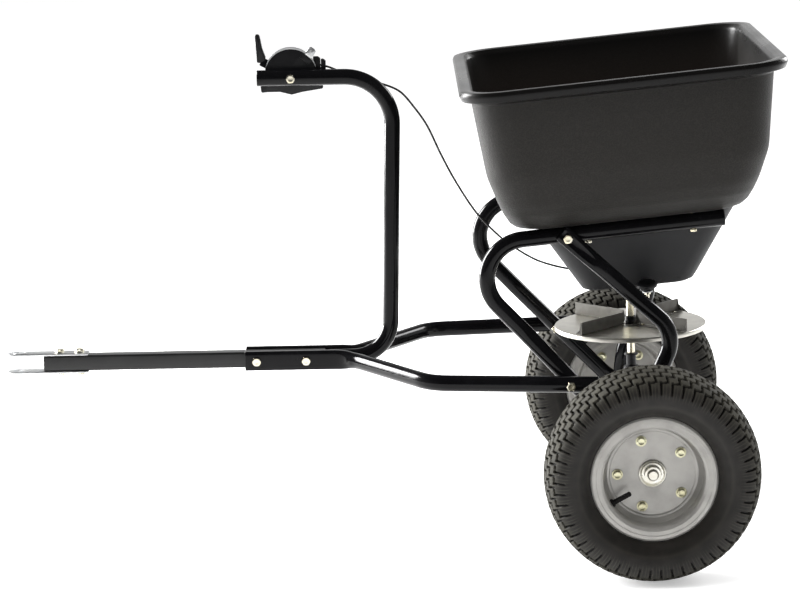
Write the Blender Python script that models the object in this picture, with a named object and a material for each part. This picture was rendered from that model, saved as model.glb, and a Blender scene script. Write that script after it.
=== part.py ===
"""Tow-behind broadcast spreader, built as separate pieces that share one frame.

Metres, +Z up.  The hitch tongue points along -X, the axle lies along Y and the
tyres stand on z = 0, with the origin under the middle of the whole machine.
The sizes below are taken from the point of the ground below the axle, where the
parent frame of every piece stands.  Each size is written once, and the pieces
are placed from those sizes, so a change carries through the machine.
"""

import math

import bmesh
import bpy
from mathutils import Vector

MM = 0.001

# Clearances
GAP = 0.3 * MM            # between pieces that touch
HOLE = 0.35 * MM          # round a bolt, on the radius

# Wheels and axle
TYRE_R = 165 * MM
TYRE_HALF = 64 * MM
TRACK = 636 * MM
SEAT_R = 78 * MM          # bead seat of the rim
FLANGE_R = 96.8 * MM
FLANGE_Y = 41 * MM        # flange face from the middle of the wheel
SHEET = 2.2 * MM          # rim sheet
HUB_R = 13 * MM
HUB_FLANGE_R = 20 * MM
HUB_OUT = 14 * MM         # hub end beyond the middle of the wheel
HUB_IN = 76 * MM          # hub sleeve towards the frame
AXLE_R = 8 * MM
AXLE_HALF = TRACK / 2 + 19 * MM
AXLE_Z = TYRE_R

# Tubes
TUBE_R = 12.7 * MM
TUBE_WALL = 1.8 * MM
TUBE_SIDES = 10
WHEEL_SIDES = 24
FLAT_HALF = 4 * MM        # half thickness of a flattened loop or leg end
FLAT_WIDE = 17 * MM       # half width of that end
CRIMP_HALF = 6 * MM       # half thickness of a crimped leg top
CRIMP_WIDE = 13.5 * MM

# Tongue and hitch
CHASSIS_Z = 285 * MM
TONGUE_HALF = 12.7 * MM
TONGUE_WALL = 2 * MM
TONGUE_FRONT = -953 * MM
TONGUE_REAR = -500 * MM
HITCH_TIP = -1013 * MM
HITCH_BACK = -881 * MM
HITCH_HALF = 14 * MM
HITCH_PLATE = 3 * MM
HITCH_PIN_X = -990.5 * MM
HITCH_PIN_R = 6.5 * MM
HITCH_BOSS = (12 * MM, 0.8 * MM)    # radius and height of the raised pin seat
HITCH_BOLTS = (-927.5 * MM, -895.6 * MM)
TONGUE_BOLTS = (-609.7 * MM, -530.3 * MM)

# Lower rails
RAIL_FRONT = -628.3 * MM
RAIL_FLAT_HALF = 6 * MM
RAIL_FLAT_TALL = 15.7 * MM
RAIL_KNEE = (-458 * MM, -332 * MM)
RAIL_KNEE_Y = TRACK / 2 - 114.5 * MM
RAIL_REAR = -75 * MM
RAIL_REAR_Y = TRACK / 2 - 81.7 * MM
RAIL_BEND = 60 * MM

# Hopper frame: u runs rearward, w up from the top of the rim
HOPPER_X = -35.8 * MM
HOPPER_Z = 764.4 * MM
HOPPER_TILT = math.radians(5.3)
TOP_RAIL_Y = TRACK / 2 - 128 * MM   # the frame's top rails, which the hopper straddles
RIM_U = 250 * MM
RIM_V = TOP_RAIL_Y + 105.5 * MM
LIP_EDGE = -6 * MM        # level at which the rolled lip is widest
HOPPER_WALL = 4 * MM
HOPPER_FLOOR = -230.5 * MM
FLOOR_FRONT = 178 * MM
FLOOR_REAR = 165 * MM
FLOOR_V = TOP_RAIL_Y + 8 * MM
THROAT_U = 128 * MM
THROAT_V = TOP_RAIL_Y - 40 * MM
BASE_FRONT = 154 * MM     # length of the funnel's top before and behind the middle
BASE_REAR = 162 * MM
BASE_V = TOP_RAIL_Y - 18 * MM
BASE_FLOOR = -358 * MM
BASE_WALL = 3 * MM
OUTLET_U = 78 * MM
OUTLET_V = 83 * MM
PORT_U = 5 * MM
PORT_V = 38 * MM
PORT_HALF = 10 * MM       # half side of each square port

# Frame loops and legs
TOP_RAIL_W = HOPPER_FLOOR - GAP - TUBE_R
TOP_RAIL_END = 136 * MM       # u of the open rear end
LOOP_BEND = 61.5 * MM
LOOP_SLOPE = 1.0477           # fall per unit run of the diagonal
LOOP_FOOT_Y = TRACK / 2 - 90 * MM
LEG_FOOT_Y = LOOP_FOOT_Y - 18 * MM
CROSSING_X = -118 * MM
HOPPER_BOLTS = (-75 * MM, 87 * MM)
LEG_TOP_U = -107 * MM         # bolt through leg and top rail
LEG_TOP_W = TOP_RAIL_W - 2.5 * MM
LEG_TAIL = 12 * MM            # tube beyond that bolt
LEG_BEND = 50 * MM

# Control arm and lever
ARM_X = (-395 * MM, -383.2 * MM)
ARM_TOP = 738.5 * MM
ARM_END = -598 * MM
ARM_BENDS = (60 * MM, 75 * MM)
ARM_SWAGE_R = 10.1 * MM
ARM_SWAGE = (-565 * MM, -498 * MM)
PIVOT_X = -544.5 * MM
QUADRANT_R = 41 * MM      # round a point above the pivot
QUADRANT_RISE = 6 * MM
QUADRANT_T = 3 * MM
LEVER_T = 2 * MM
DRUM_R = 16 * MM
LEVER_ANGLE = 152
LEVER_SWEEP = 75
STOP_ANGLE = 50
STOP_SWEEP = 10            # either way
STOP_R = 38 * MM
CABLE_R = 1.7 * MM

# Impeller drive, along the leaning shaft
SHAFT_LEAN = math.radians(1.2)
SHAFT_X = -4.5 * MM        # where the shaft's line passes the axle's height
SHAFT_R = 6 * MM
SPIGOT_R = 4 * MM
SHAFT_RISE = 48.26 * MM   # shaft above the gate's guide
BUSH_TOP = 118 * MM
RING_TEETH = 24
PINION_TEETH = 8
RING_R = 36 * MM
PINION_R = 10 * MM
CASE_R = 43 * MM
CASE_WALL = 4 * MM
IMPELLER_R = 122 * MM
IMPELLER_SHARE = 0.4084   # where the plate stands between the bush and the guide
VANE_TALL = 20 * MM

# Flow gate
GATE_T = 2 * MM
GATE_TRAVEL = DRUM_R * math.radians(LEVER_SWEEP)
KNOB_U = 12 * MM
KNOB_V = -123 * MM
WIRE_V = 112 * MM

# Fasteners
BOLT_R = 4 * MM
HEAD_R = 7.5 * MM
HEAD_T = 5.3 * MM
NUT_T = 5.5 * MM

FINISHES = {
    "black_paint": ((0.012, 0.012, 0.013), 0.0, 0.22),
    "zinc": ((0.66, 0.64, 0.58), 1.0, 0.34),
    "galvanised": ((0.50, 0.51, 0.52), 1.0, 0.45),
    "hopper_plastic": ((0.026, 0.026, 0.027), 0.0, 0.55),
    "black_plastic": ((0.016, 0.016, 0.017), 0.0, 0.42),
    "tyre_rubber": ((0.035, 0.032, 0.029), 0.0, 0.75),
    "silver_paint": ((0.42, 0.42, 0.43), 0.6, 0.38),
    "steel": ((0.60, 0.60, 0.60), 1.0, 0.28),
    "nylon": ((0.55, 0.53, 0.48), 0.0, 0.5),
    "cable_jacket": ((0.012, 0.012, 0.012), 0.0, 0.4),
}


def clear_scene():
    """Remove whatever the program starts with."""
    for item in list(bpy.data.objects):
        bpy.data.objects.remove(item, do_unlink=True)


def collection(name):
    """Make a named collection in the scene."""
    made = bpy.data.collections.new(name)
    bpy.context.scene.collection.children.link(made)
    return made


def material(name, finish):
    """Make one Principled material for one piece."""
    colour, metal, rough = FINISHES[finish]
    made = bpy.data.materials.new(name)
    made.use_nodes = True
    shader = made.node_tree.nodes["Principled BSDF"]
    shader.inputs["Base Color"].default_value = (*colour, 1.0)
    shader.inputs["Metallic"].default_value = metal
    shader.inputs["Roughness"].default_value = rough
    return made


def mesh_object(name, verts, faces, group):
    """Put a mesh in a collection, its faces all turned outward."""
    mesh = bpy.data.meshes.new(name)
    mesh.from_pydata([tuple(v) for v in verts], [], faces)
    work = bmesh.new()
    work.from_mesh(mesh)
    bmesh.ops.recalc_face_normals(work, faces=work.faces)
    work.to_mesh(mesh)
    work.free()
    made = bpy.data.objects.new(name, mesh)
    group.objects.link(made)
    return made


def skin(rings, closed):
    """Join rings of equal length; cap the ends, or join last to first."""
    count = len(rings[0])
    verts = [point for ring in rings for point in ring]
    faces = []
    spans = len(rings) if closed else len(rings) - 1
    for row in range(spans):
        here = row * count
        there = (row + 1) % len(rings) * count
        for k in range(count):
            after = (k + 1) % count
            faces.append((here + k, here + after, there + after, there + k))
    if not closed:
        faces.append(tuple(range(count)))
        last = (len(rings) - 1) * count
        faces.append(tuple(last + k for k in range(count)))
    return verts, faces


def circle(radius, count, turn=0.0):
    """Points of a circle in the plane."""
    step = 2 * math.pi / count
    angles = [turn + k * step for k in range(count)]
    return [(radius * math.cos(a), radius * math.sin(a)) for a in angles]


def lathe_y(profile, count, closed=True):
    """Turn (radius, y) points round the Y axis."""
    rings = [[(x, y, z) for x, z in circle(radius, count)] for radius, y in profile]
    return skin(rings, closed)


def lathe_z(profile, count, closed=True):
    """Turn (radius, z) points round the Z axis."""
    rings = [[(x, y, z) for x, y in circle(radius, count)] for radius, z in profile]
    return skin(rings, closed)


def slab(outline, low, high):
    """Plate with an (x, y) outline between two heights."""
    return skin([[(x, y, z) for x, y in outline] for z in (low, high)], False)


def slab_y(outline, near, far):
    """Plate with an (x, z) outline between two y values."""
    return skin([[(x, y, z) for x, z in outline] for y in (near, far)], False)


def rectangle(x0, x1, y0, y1):
    """Corners of a rectangle."""
    return [(x0, y0), (x1, y0), (x1, y1), (x0, y1)]


def arc(radius, start, end, steps, centre=(0.0, 0.0)):
    """Points along an arc, angles in degrees."""
    angles = [math.radians(start + (end - start) * k / steps) for k in range(steps + 1)]
    return [(centre[0] + radius * math.cos(a), centre[1] + radius * math.sin(a)) for a in angles]


def rounded_rectangle(half_x, half_y, radius, steps=4):
    """Outline of a rectangle with round corners."""
    points = []
    for sx, sy, start in ((1, 1, 0), (-1, 1, 90), (-1, -1, 180), (1, -1, 270)):
        corner = (sx * (half_x - radius), sy * (half_y - radius))
        points += arc(radius, start, start + 90, steps, corner)
    return points


def bend(corners, radii, steps=4):
    """Path through corners, each inner corner rounded to its radius."""
    points = [Vector(corners[0])]
    for k in range(1, len(corners) - 1):
        here = Vector(corners[k])
        back = (Vector(corners[k - 1]) - here).normalized()
        ahead = (Vector(corners[k + 1]) - here).normalized()
        half = back.angle(ahead) / 2
        reach = radii[k - 1] / math.tan(half)
        centre = here + (back + ahead).normalized() * radii[k - 1] / math.sin(half)
        first = here + back * reach - centre
        last = here + ahead * reach - centre
        for j in range(steps + 1):
            points.append(centre + first.slerp(last, j / steps) * radii[k - 1])
    points.append(Vector(corners[-1]))
    return points


def add_points(path, lengths):
    """Insert points at given distances from the start (negative: from the end)."""
    total = sum((b - a).length for a, b in zip(path, path[1:]))
    for length in sorted(value if value >= 0 else total + value for value in lengths):
        run = 0.0
        for k in range(len(path) - 1):
            step = (path[k + 1] - path[k]).length
            if run + 1e-5 < length < run + step - 1e-5:
                path.insert(k + 1, path[k].lerp(path[k + 1], (length - run) / step))
                break
            run += step
    return path


def oval(half_a, half_b, squareness, count):
    """Round or flattened tube section; squareness 0 gives an ellipse."""
    power = 1 - 0.6 * squareness
    points = []
    for a, b in circle(1.0, count, math.pi / count):
        across, other = math.copysign(abs(a) ** power, a), math.copysign(abs(b) ** power, b)
        points.append((across * half_a, other * half_b))
    return points


def sweep(path, across, section, wall):
    """Hollow tube along a path; section(k) gives (half along across, other half, squareness)."""
    outer = []
    inner = []
    for k, point in enumerate(path):
        tangent = (path[min(k + 1, len(path) - 1)] - path[max(k - 1, 0)]).normalized()
        side = (Vector(across) - tangent * tangent.dot(Vector(across))).normalized()
        other = tangent.cross(side)
        half_a, half_b, square = section(k)
        for ring, take in ((outer, 0.0), (inner, wall)):
            shape = oval(half_a - take, half_b - take, square, TUBE_SIDES)
            ring.append([point + side * a + other * b for a, b in shape])
    return skin(outer + inner[::-1], True)


class Spreader:
    """The object's collections, parent frames and pieces."""

    def __init__(self):
        self.pieces = collection("tow_behind_broadcast_spreader")
        self.cutters = collection("cutters")
        self.made = {}
        self.ground_frame = None
        middle = (HITCH_TIP + hopper_point(RIM_U, 0, LIP_EDGE)[0]) / 2
        self.ground_frame = self.frame("ground_frame", (-middle, 0, 0), 0)
        self.hopper_frame = self.frame("hopper_frame", (HOPPER_X, 0, HOPPER_Z), -HOPPER_TILT)
        self.shaft_frame = self.frame("shaft_frame", (SHAFT_X, 0, AXLE_Z), -SHAFT_LEAN)

    def frame(self, name, at, pitch):
        """Empty that carries the pieces of one tilted frame."""
        empty = bpy.data.objects.new(name, None)
        empty.empty_display_size = 0.05
        empty.location = at
        empty.rotation_euler = (0, pitch, 0)
        empty.parent = self.ground_frame
        self.pieces.objects.link(empty)
        return empty

    def piece(self, name, shape, finish, at=(0, 0, 0), parent=None):
        """Add one named piece with its own material."""
        made = mesh_object(name, *shape, self.pieces)
        made.data.materials.append(material(name, finish))
        made.location = at
        made.parent = parent or self.ground_frame
        self.made[name] = made
        return made

    def cutter(self, name, shape, at=(0, 0, 0), parent=None):
        """Add one hidden cutting shape."""
        made = mesh_object(name, *shape, self.cutters)
        made.location = at
        made.parent = parent or self.ground_frame
        made.hide_render = True
        made.display_type = "WIRE"
        return made

    def combine(self, target, other, operation):
        """Boolean of one piece with a cutting or joining shape."""
        modifier = self.made[target].modifiers.new(other.name, "BOOLEAN")
        modifier.object = other
        modifier.operation = operation
        modifier.solver = "EXACT"

    def cut(self, target, name, shape, at=(0, 0, 0), parent=None):
        """Cut a shape out of a piece."""
        self.combine(target, self.cutter(name, shape, at, parent), "DIFFERENCE")

    def join(self, target, name, shape, at=(0, 0, 0), parent=None):
        """Weld a shape to a piece."""
        self.combine(target, self.cutter(name, shape, at, parent), "UNION")

    def bolt(self, name, seat, out, grip, through, parent=None, size=1.0):
        """Hex bolt and nut in one, and its holes through the pieces it holds."""
        turn = Vector((0, 0, 1)).rotation_difference(Vector(out)).to_euler()
        end = -grip - 2 * GAP
        shank, head, nut = BOLT_R * size, HEAD_R * size, end - NUT_T * size
        profile = [
            (head, HEAD_T * size), (head, 0), (shank, 0), (shank, end), (head, end),
            (head, nut), (shank, nut), (shank, nut - 2 * MM),
        ]
        made = self.piece(name, lathe_z(profile, 6, False), "zinc", parent=parent)
        made.location = Vector(seat) + Vector(out) * GAP
        made.rotation_euler = turn
        bore = [(shank + HOLE, 2 * MM), (shank + HOLE, end - 2 * MM)]
        hole = self.cutter(name + "_hole", lathe_z(bore, 8, False))
        hole.parent = made.parent
        hole.location = made.location
        hole.rotation_euler = turn
        for target in through:
            self.combine(target, hole, "DIFFERENCE")
        return made


def build_hitch(machine):
    """Square tongue and the two hitch plates bolted to its front."""
    outer = [(y, z) for y, z in rounded_rectangle(TONGUE_HALF, TONGUE_HALF, 2 * MM, 1)]
    clear = TONGUE_HALF - TONGUE_WALL
    inner = [(y, z) for y, z in rounded_rectangle(clear, clear, 0.5 * MM, 1)]
    rings = [[(x, y, z) for y, z in outer] for x in (TONGUE_FRONT, TONGUE_REAR)]
    rings += [[(x, y, z) for y, z in inner] for x in (TONGUE_REAR, TONGUE_FRONT)]
    machine.piece("hitch_tongue", skin(rings, True), "black_paint", (0, 0, CHASSIS_Z))
    nose = arc(HITCH_HALF, 90, 270, 8, (HITCH_TIP + HITCH_HALF, 0))
    outline = nose + [(HITCH_BACK, -HITCH_HALF), (HITCH_BACK, HITCH_HALF)]
    lift = TONGUE_HALF + GAP
    pin = lathe_z([(HITCH_PIN_R, -0.03), (HITCH_PIN_R, 0.03)], 24, False)
    radius, rise = HITCH_BOSS
    sides = (("hitch_plate_top", lift, rise), ("hitch_plate_bottom", -lift - HITCH_PLATE, -rise))
    for name, low, out in sides:
        machine.piece(name, slab(outline, low, low + HITCH_PLATE), "galvanised", (0, 0, CHASSIS_Z))
        face = low + HITCH_PLATE if out > 0 else low
        boss = lathe_z([(radius, face - out), (radius, face + out)], 24, False)
        machine.join(name, name + "_boss", boss, (HITCH_PIN_X, 0, CHASSIS_Z))
        machine.cut(name, name + "_pin_hole", pin, (HITCH_PIN_X, 0, CHASSIS_Z))
    plates = ["hitch_plate_top", "hitch_tongue", "hitch_plate_bottom"]
    for name, x in zip(("hitch_bolt_front", "hitch_bolt_rear"), HITCH_BOLTS):
        seat = (x, 0, CHASSIS_Z + lift + HITCH_PLATE)
        machine.bolt(name, seat, (0, 0, 1), 2 * (lift + HITCH_PLATE), plates)


def rail_shape(side):
    """Lower rail: flattened along the tongue, splayed, then running back to the wheel."""
    flat_y = TONGUE_HALF + GAP + RAIL_FLAT_HALF
    corners = [
        (RAIL_FRONT, side * flat_y, 0), (RAIL_KNEE[0], side * flat_y, 0),
        (RAIL_KNEE[1], side * RAIL_KNEE_Y, 0), (RAIL_REAR, side * RAIL_REAR_Y, 0),
    ]
    path = bend(corners, (RAIL_BEND, RAIL_BEND))

    def section(k):
        round_share = min((abs(path[k].y) - flat_y) / (2 * RAIL_FLAT_HALF), 1)
        tall = RAIL_FLAT_TALL + (TUBE_R - RAIL_FLAT_TALL) * round_share
        thick = RAIL_FLAT_HALF + (TUBE_R - RAIL_FLAT_HALF) * round_share
        return tall, thick, 1 - round_share

    return sweep(path, (0, 0, 1), section, TUBE_WALL)


def hopper_point(u, v, w):
    """Point of the hopper frame in the row frame."""
    cos, sin = math.cos(HOPPER_TILT), math.sin(HOPPER_TILT)
    return (HOPPER_X + u * cos - w * sin, v, HOPPER_Z + u * sin + w * cos)


def line_meets(point, slope, other, other_slope):
    """Where two lines of the XZ plane cross, each a point and a slope."""
    x = (other[1] - point[1] + slope * point[0] - other_slope * other[0]) / (slope - other_slope)
    return x, point[1] + slope * (x - point[0])


def end_section(path, start, end):
    """Section of a tube whose ends are squeezed; each end is (half thickness, half width, reach)."""
    runs = [0.0]
    for a, b in zip(path, path[1:]):
        runs.append(runs[-1] + (b - a).length)

    def section(k):
        size = (TUBE_R, TUBE_R, 0.0)
        for squeeze, run in ((start, runs[k]), (end, runs[-1] - runs[k])):
            if squeeze and run < 2 * squeeze[2]:
                flat = min(2 - run / squeeze[2], 1)
                thick = TUBE_R + (squeeze[0] - TUBE_R) * flat
                size = (thick, TUBE_R + (squeeze[1] - TUBE_R) * flat, flat)
        return size

    return section


def loop_shape(side):
    """Top rail, front bend and diagonal down to the axle, in one tube."""
    rear = hopper_point(TOP_RAIL_END, side * TOP_RAIL_Y, TOP_RAIL_W)
    corner_x, corner_z = line_meets((rear[0], rear[2]), math.tan(HOPPER_TILT), (0, AXLE_Z), -LOOP_SLOPE)
    corner = (corner_x, side * TOP_RAIL_Y, corner_z)
    turn_x = corner_x + 0.13
    turn = (turn_x, side * TOP_RAIL_Y, AXLE_Z - LOOP_SLOPE * turn_x)
    foot = Vector((0, side * LOOP_FOOT_Y, AXLE_Z))
    foot += (foot - Vector(turn)).normalized() * FLAT_WIDE
    path = bend([rear, corner, turn], (LOOP_BEND,), 6) + [foot]
    path = add_points(path, [-0.07, -0.04])
    return sweep(path, (0, 1, 0), end_section(path, None, (FLAT_HALF, FLAT_WIDE, 0.038)), TUBE_WALL)


def leg_shape(side):
    """Leg from the top rail, round a bend, down to the axle bush."""
    top = Vector(hopper_point(LEG_TOP_U, 0, LEG_TOP_W))
    knee = Vector((47 * MM, 0, 358 * MM))
    shin = Vector((-7 * MM, 0, 237 * MM))
    foot = Vector((0, 0, AXLE_Z))
    top += (top - knee).normalized() * LEG_TAIL
    foot += (foot - shin).normalized() * FLAT_WIDE
    high = TOP_RAIL_Y + TUBE_R + GAP + CRIMP_HALF
    low = LEG_FOOT_Y
    points = [Vector((top.x, side * high, top.z)), Vector((knee.x, side * (high + low) / 2, knee.z))]
    points += [Vector((shin.x, side * low, shin.z)), Vector((foot.x, side * low, foot.z))]
    path = add_points(bend(points, (LEG_BEND, 80 * MM), 4), [0.026, 0.052, -0.045, -0.09])
    squeezed = end_section(path, (CRIMP_HALF, CRIMP_WIDE, 0.026), (FLAT_HALF, FLAT_WIDE, 0.045))
    return sweep(path, (0, 1, 0), squeezed, TUBE_WALL)


def build_frame(machine):
    """Rails, loops and legs, with the bolts and bushes that tie them."""
    for word, side in (("left", -1), ("right", 1)):
        rail, loop, leg = f"{word}_lower_rail", f"{word}_frame_loop", f"{word}_hopper_leg"
        machine.piece(rail, rail_shape(side), "black_paint", (0, 0, CHASSIS_Z))
        machine.piece(loop, loop_shape(side), "black_paint")
        machine.piece(leg, leg_shape(side), "black_paint")
        share = (CROSSING_X - RAIL_KNEE[1]) / (RAIL_REAR - RAIL_KNEE[1])
        rail_y = RAIL_KNEE_Y + (RAIL_REAR_Y - RAIL_KNEE_Y) * share
        seat = (CROSSING_X, side * (rail_y + TUBE_R + 1.2 * MM), CHASSIS_Z)
        machine.bolt(f"{word}_rail_bolt", seat, (0, side, 0), 4 * TUBE_R + 4.5 * MM, [rail, loop])
        outside = TOP_RAIL_Y + TUBE_R + GAP + 2 * CRIMP_HALF
        seat = hopper_point(LEG_TOP_U, side * outside, LEG_TOP_W)
        machine.bolt(f"{word}_leg_bolt", seat, (0, side, 0), outside - TOP_RAIL_Y + TUBE_R, [leg, loop])
        inner = LEG_FOOT_Y - FLAT_HALF
        outer = LOOP_FOOT_Y + FLAT_HALF
        collar = (LEG_FOOT_Y + FLAT_HALF + 0.6 * MM, LOOP_FOOT_Y - FLAT_HALF - 3.4 * MM)
        bush = [
            (AXLE_R + GAP, inner - 3 * MM), (11 * MM, inner - 3 * MM), (11 * MM, collar[0]),
            (15 * MM, collar[0]), (15 * MM, collar[1]), (11 * MM, collar[1]),
            (11 * MM, outer + 3 * MM), (AXLE_R + GAP, outer + 3 * MM),
        ]
        bush = [(radius, side * y) for radius, y in bush]
        machine.piece(f"{word}_axle_bush", lathe_y(bush, 16), "nylon", (0, 0, AXLE_Z))
        bore = [(11 * MM + GAP, side * (inner - 0.01)), (11 * MM + GAP, side * (outer + 0.01))]
        hole = lathe_y(bore, 16, False)
        for target in (loop, leg):
            machine.cut(target, f"{target}_bush_hole", hole, (0, 0, AXLE_Z))
    for name, x in zip(("tongue_bolt_front", "tongue_bolt_rear"), TONGUE_BOLTS):
        outside = TONGUE_HALF + GAP + 2 * RAIL_FLAT_HALF
        through = ["left_lower_rail", "hitch_tongue", "right_lower_rail"]
        if x == TONGUE_BOLTS[1]:
            through.append("control_arm")
        machine.bolt(name, (x, -outside, CHASSIS_Z), (0, -1, 0), 2 * outside, through)


def build_arm(machine):
    """Upright arm that carries the lever in reach of the tractor seat."""
    corners = [
        (ARM_SWAGE[0], 0, CHASSIS_Z), (ARM_X[0], 0, CHASSIS_Z),
        (ARM_X[1], 0, ARM_TOP), (ARM_END, 0, ARM_TOP),
    ]
    path = bend(corners, ARM_BENDS, 5)
    path = add_points(path, [ARM_SWAGE[1] - ARM_SWAGE[0], ARM_SWAGE[1] - ARM_SWAGE[0] + 0.006])

    def section(k):
        share = min(max((path[k].x - ARM_SWAGE[1]) / 0.006, 0), 1) if path[k].z < CHASSIS_Z + 0.01 else 1
        radius = ARM_SWAGE_R + (TUBE_R - ARM_SWAGE_R) * share
        return radius, radius, 0

    machine.piece("control_arm", sweep(path, (0, 1, 0), section, TUBE_WALL), "black_paint")


def build_hopper(machine):
    """Moulded hopper with a rolled lip, and the funnel base below it."""
    outer = [
        (HOPPER_FLOOR, FLOOR_FRONT, FLOOR_REAR, FLOOR_V, 52),
        (HOPPER_FLOOR + 7 * MM, FLOOR_FRONT + 11 * MM, FLOOR_REAR + 11 * MM, FLOOR_V + 6 * MM, 56),
        (-204 * MM, 200 * MM, 187 * MM, FLOOR_V + 34 * MM, 60),
        (-184 * MM, 207 * MM, 196 * MM, FLOOR_V + 49 * MM, 62),
        (-140 * MM, 220 * MM, 213 * MM, FLOOR_V + 64 * MM, 66),
        (-17 * MM, 232 * MM, 229 * MM, RIM_V - 19.5 * MM, 62),
        (-17 * MM, 246 * MM, 246 * MM, RIM_V - 4 * MM, 66), (LIP_EDGE, RIM_U, RIM_U, RIM_V, 68),
        (0, RIM_U - 5 * MM, RIM_U - 5 * MM, RIM_V - 5 * MM, 64),
    ]
    inner = [
        (0, 233 * MM, 233 * MM, RIM_V - 16.5 * MM, 56),
        (-8 * MM, 227 * MM, 227 * MM, RIM_V - 22.5 * MM, 54),
        (-140 * MM, 216 * MM, 209 * MM, FLOOR_V + 60 * MM, 62),
        (-184 * MM, 203 * MM, 192 * MM, FLOOR_V + 45 * MM, 58),
        (-205 * MM, 195 * MM, 182 * MM, FLOOR_V + 27 * MM, 54),
        (HOPPER_FLOOR + HOPPER_WALL, FLOOR_FRONT - 2 * MM, FLOOR_REAR - 2 * MM, FLOOR_V - 1.5 * MM, 50),
        (HOPPER_FLOOR + HOPPER_WALL, THROAT_U, THROAT_U, THROAT_V, 30),
        (HOPPER_FLOOR, THROAT_U, THROAT_U, THROAT_V, 30),
    ]
    machine.piece("hopper", hopper_skin(outer + inner), "hopper_plastic", parent=machine.hopper_frame)
    lip = HOPPER_FLOOR - GAP
    base = [
        (lip, BASE_FRONT, BASE_REAR, BASE_V, 38), (lip - 3 * MM, BASE_FRONT, BASE_REAR, BASE_V, 38),
        (lip - 3 * MM, BASE_FRONT - 2 * MM, BASE_REAR - 2 * MM, BASE_V - 6 * MM, 38),
        (BASE_FLOOR + 14 * MM, 92 * MM, 97 * MM, 98 * MM, 30),
        (BASE_FLOOR + 4 * MM, 86 * MM, 90 * MM, 91 * MM, 26),
        (BASE_FLOOR, OUTLET_U, OUTLET_U + 4 * MM, OUTLET_V, 22),
    ]
    inside = [
        (BASE_FLOOR + BASE_WALL, OUTLET_U, OUTLET_U + 3 * MM, OUTLET_V, 22),
        (BASE_FLOOR + 14 * MM, 88 * MM, 93 * MM, 95 * MM, 28),
        (lip - 3 * MM, BASE_FRONT - 5 * MM, BASE_REAR - 5 * MM, BASE_V - 9 * MM, 35),
        (lip, BASE_FRONT - 6 * MM, BASE_REAR - 6 * MM, BASE_V - 10 * MM, 34),
    ]
    floor = hopper_rings(base + inside)
    verts, faces = skin(floor, True)
    count = len(floor[0])
    split = len(base)
    faces = [face for face in faces if not {face[0] // count, face[2] // count} == {split - 1, split}]
    faces.append(tuple((split - 1) * count + k for k in range(count)))
    faces.append(tuple(split * count + k for k in range(count)))
    machine.piece("hopper_base", (verts, faces), "black_plastic", parent=machine.hopper_frame)
    shaft_u = shaft_offset(BASE_FLOOR)
    machine.cut("hopper_base", "shaft_opening", lathe_z([(8 * MM, -0.02), (8 * MM, 0.02)], 16, False),
                (shaft_u, 0, BASE_FLOOR), machine.hopper_frame)
    port = slab(rectangle(-PORT_HALF, PORT_HALF, -PORT_HALF, PORT_HALF), -0.02, 0.02)
    for name, v in (("left_port", -PORT_V), ("right_port", PORT_V)):
        machine.cut("hopper_base", name, port, (PORT_U, v, BASE_FLOOR), machine.hopper_frame)
    for word, side in (("left", -1), ("right", 1)):
        for place, u in zip(("front", "rear"), HOPPER_BOLTS):
            seat = (u, side * TOP_RAIL_Y, TOP_RAIL_W - TUBE_R)
            grip = 2 * TUBE_R + GAP + HOPPER_WALL
            machine.bolt(f"{word}_hopper_bolt_{place}", seat, (0, 0, -1), grip,
                         [f"{word}_frame_loop", "hopper"], machine.hopper_frame, 0.75)


def hopper_rings(levels):
    """Rings of a round-cornered box, one for each level (w, front, rear, half v, corner in mm)."""
    rings = []
    for w, front, rear, half_v, corner in levels:
        outline = rounded_rectangle((front + rear) / 2, half_v, corner * MM)
        rings.append([(u + (rear - front) / 2, v, w) for u, v in outline])
    return rings


def hopper_skin(levels):
    """Closed shell through the given levels."""
    return skin(hopper_rings(levels), True)


def shaft_offset(w):
    """The u value at which the leaning shaft passes a level of the hopper frame."""
    low = Vector((HOPPER_X, 0, HOPPER_Z))
    along = Vector((-math.sin(SHAFT_LEAN), 0, math.cos(SHAFT_LEAN)))
    up = Vector((-math.sin(HOPPER_TILT), 0, math.cos(HOPPER_TILT)))
    back = Vector((math.cos(HOPPER_TILT), 0, math.sin(HOPPER_TILT)))
    start = Vector((SHAFT_X, 0, AXLE_Z)) - low
    reach = (w - start.dot(up)) / along.dot(up)
    return (start + along * reach).dot(back)


def guide_level():
    """Height above the axle at which the shaft leaves the gate's guide."""
    w = BASE_FLOOR - 2 * (GAP + GATE_T)
    return (hopper_point(shaft_offset(w), 0, w)[2] - AXLE_Z) / math.cos(SHAFT_LEAN)


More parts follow.
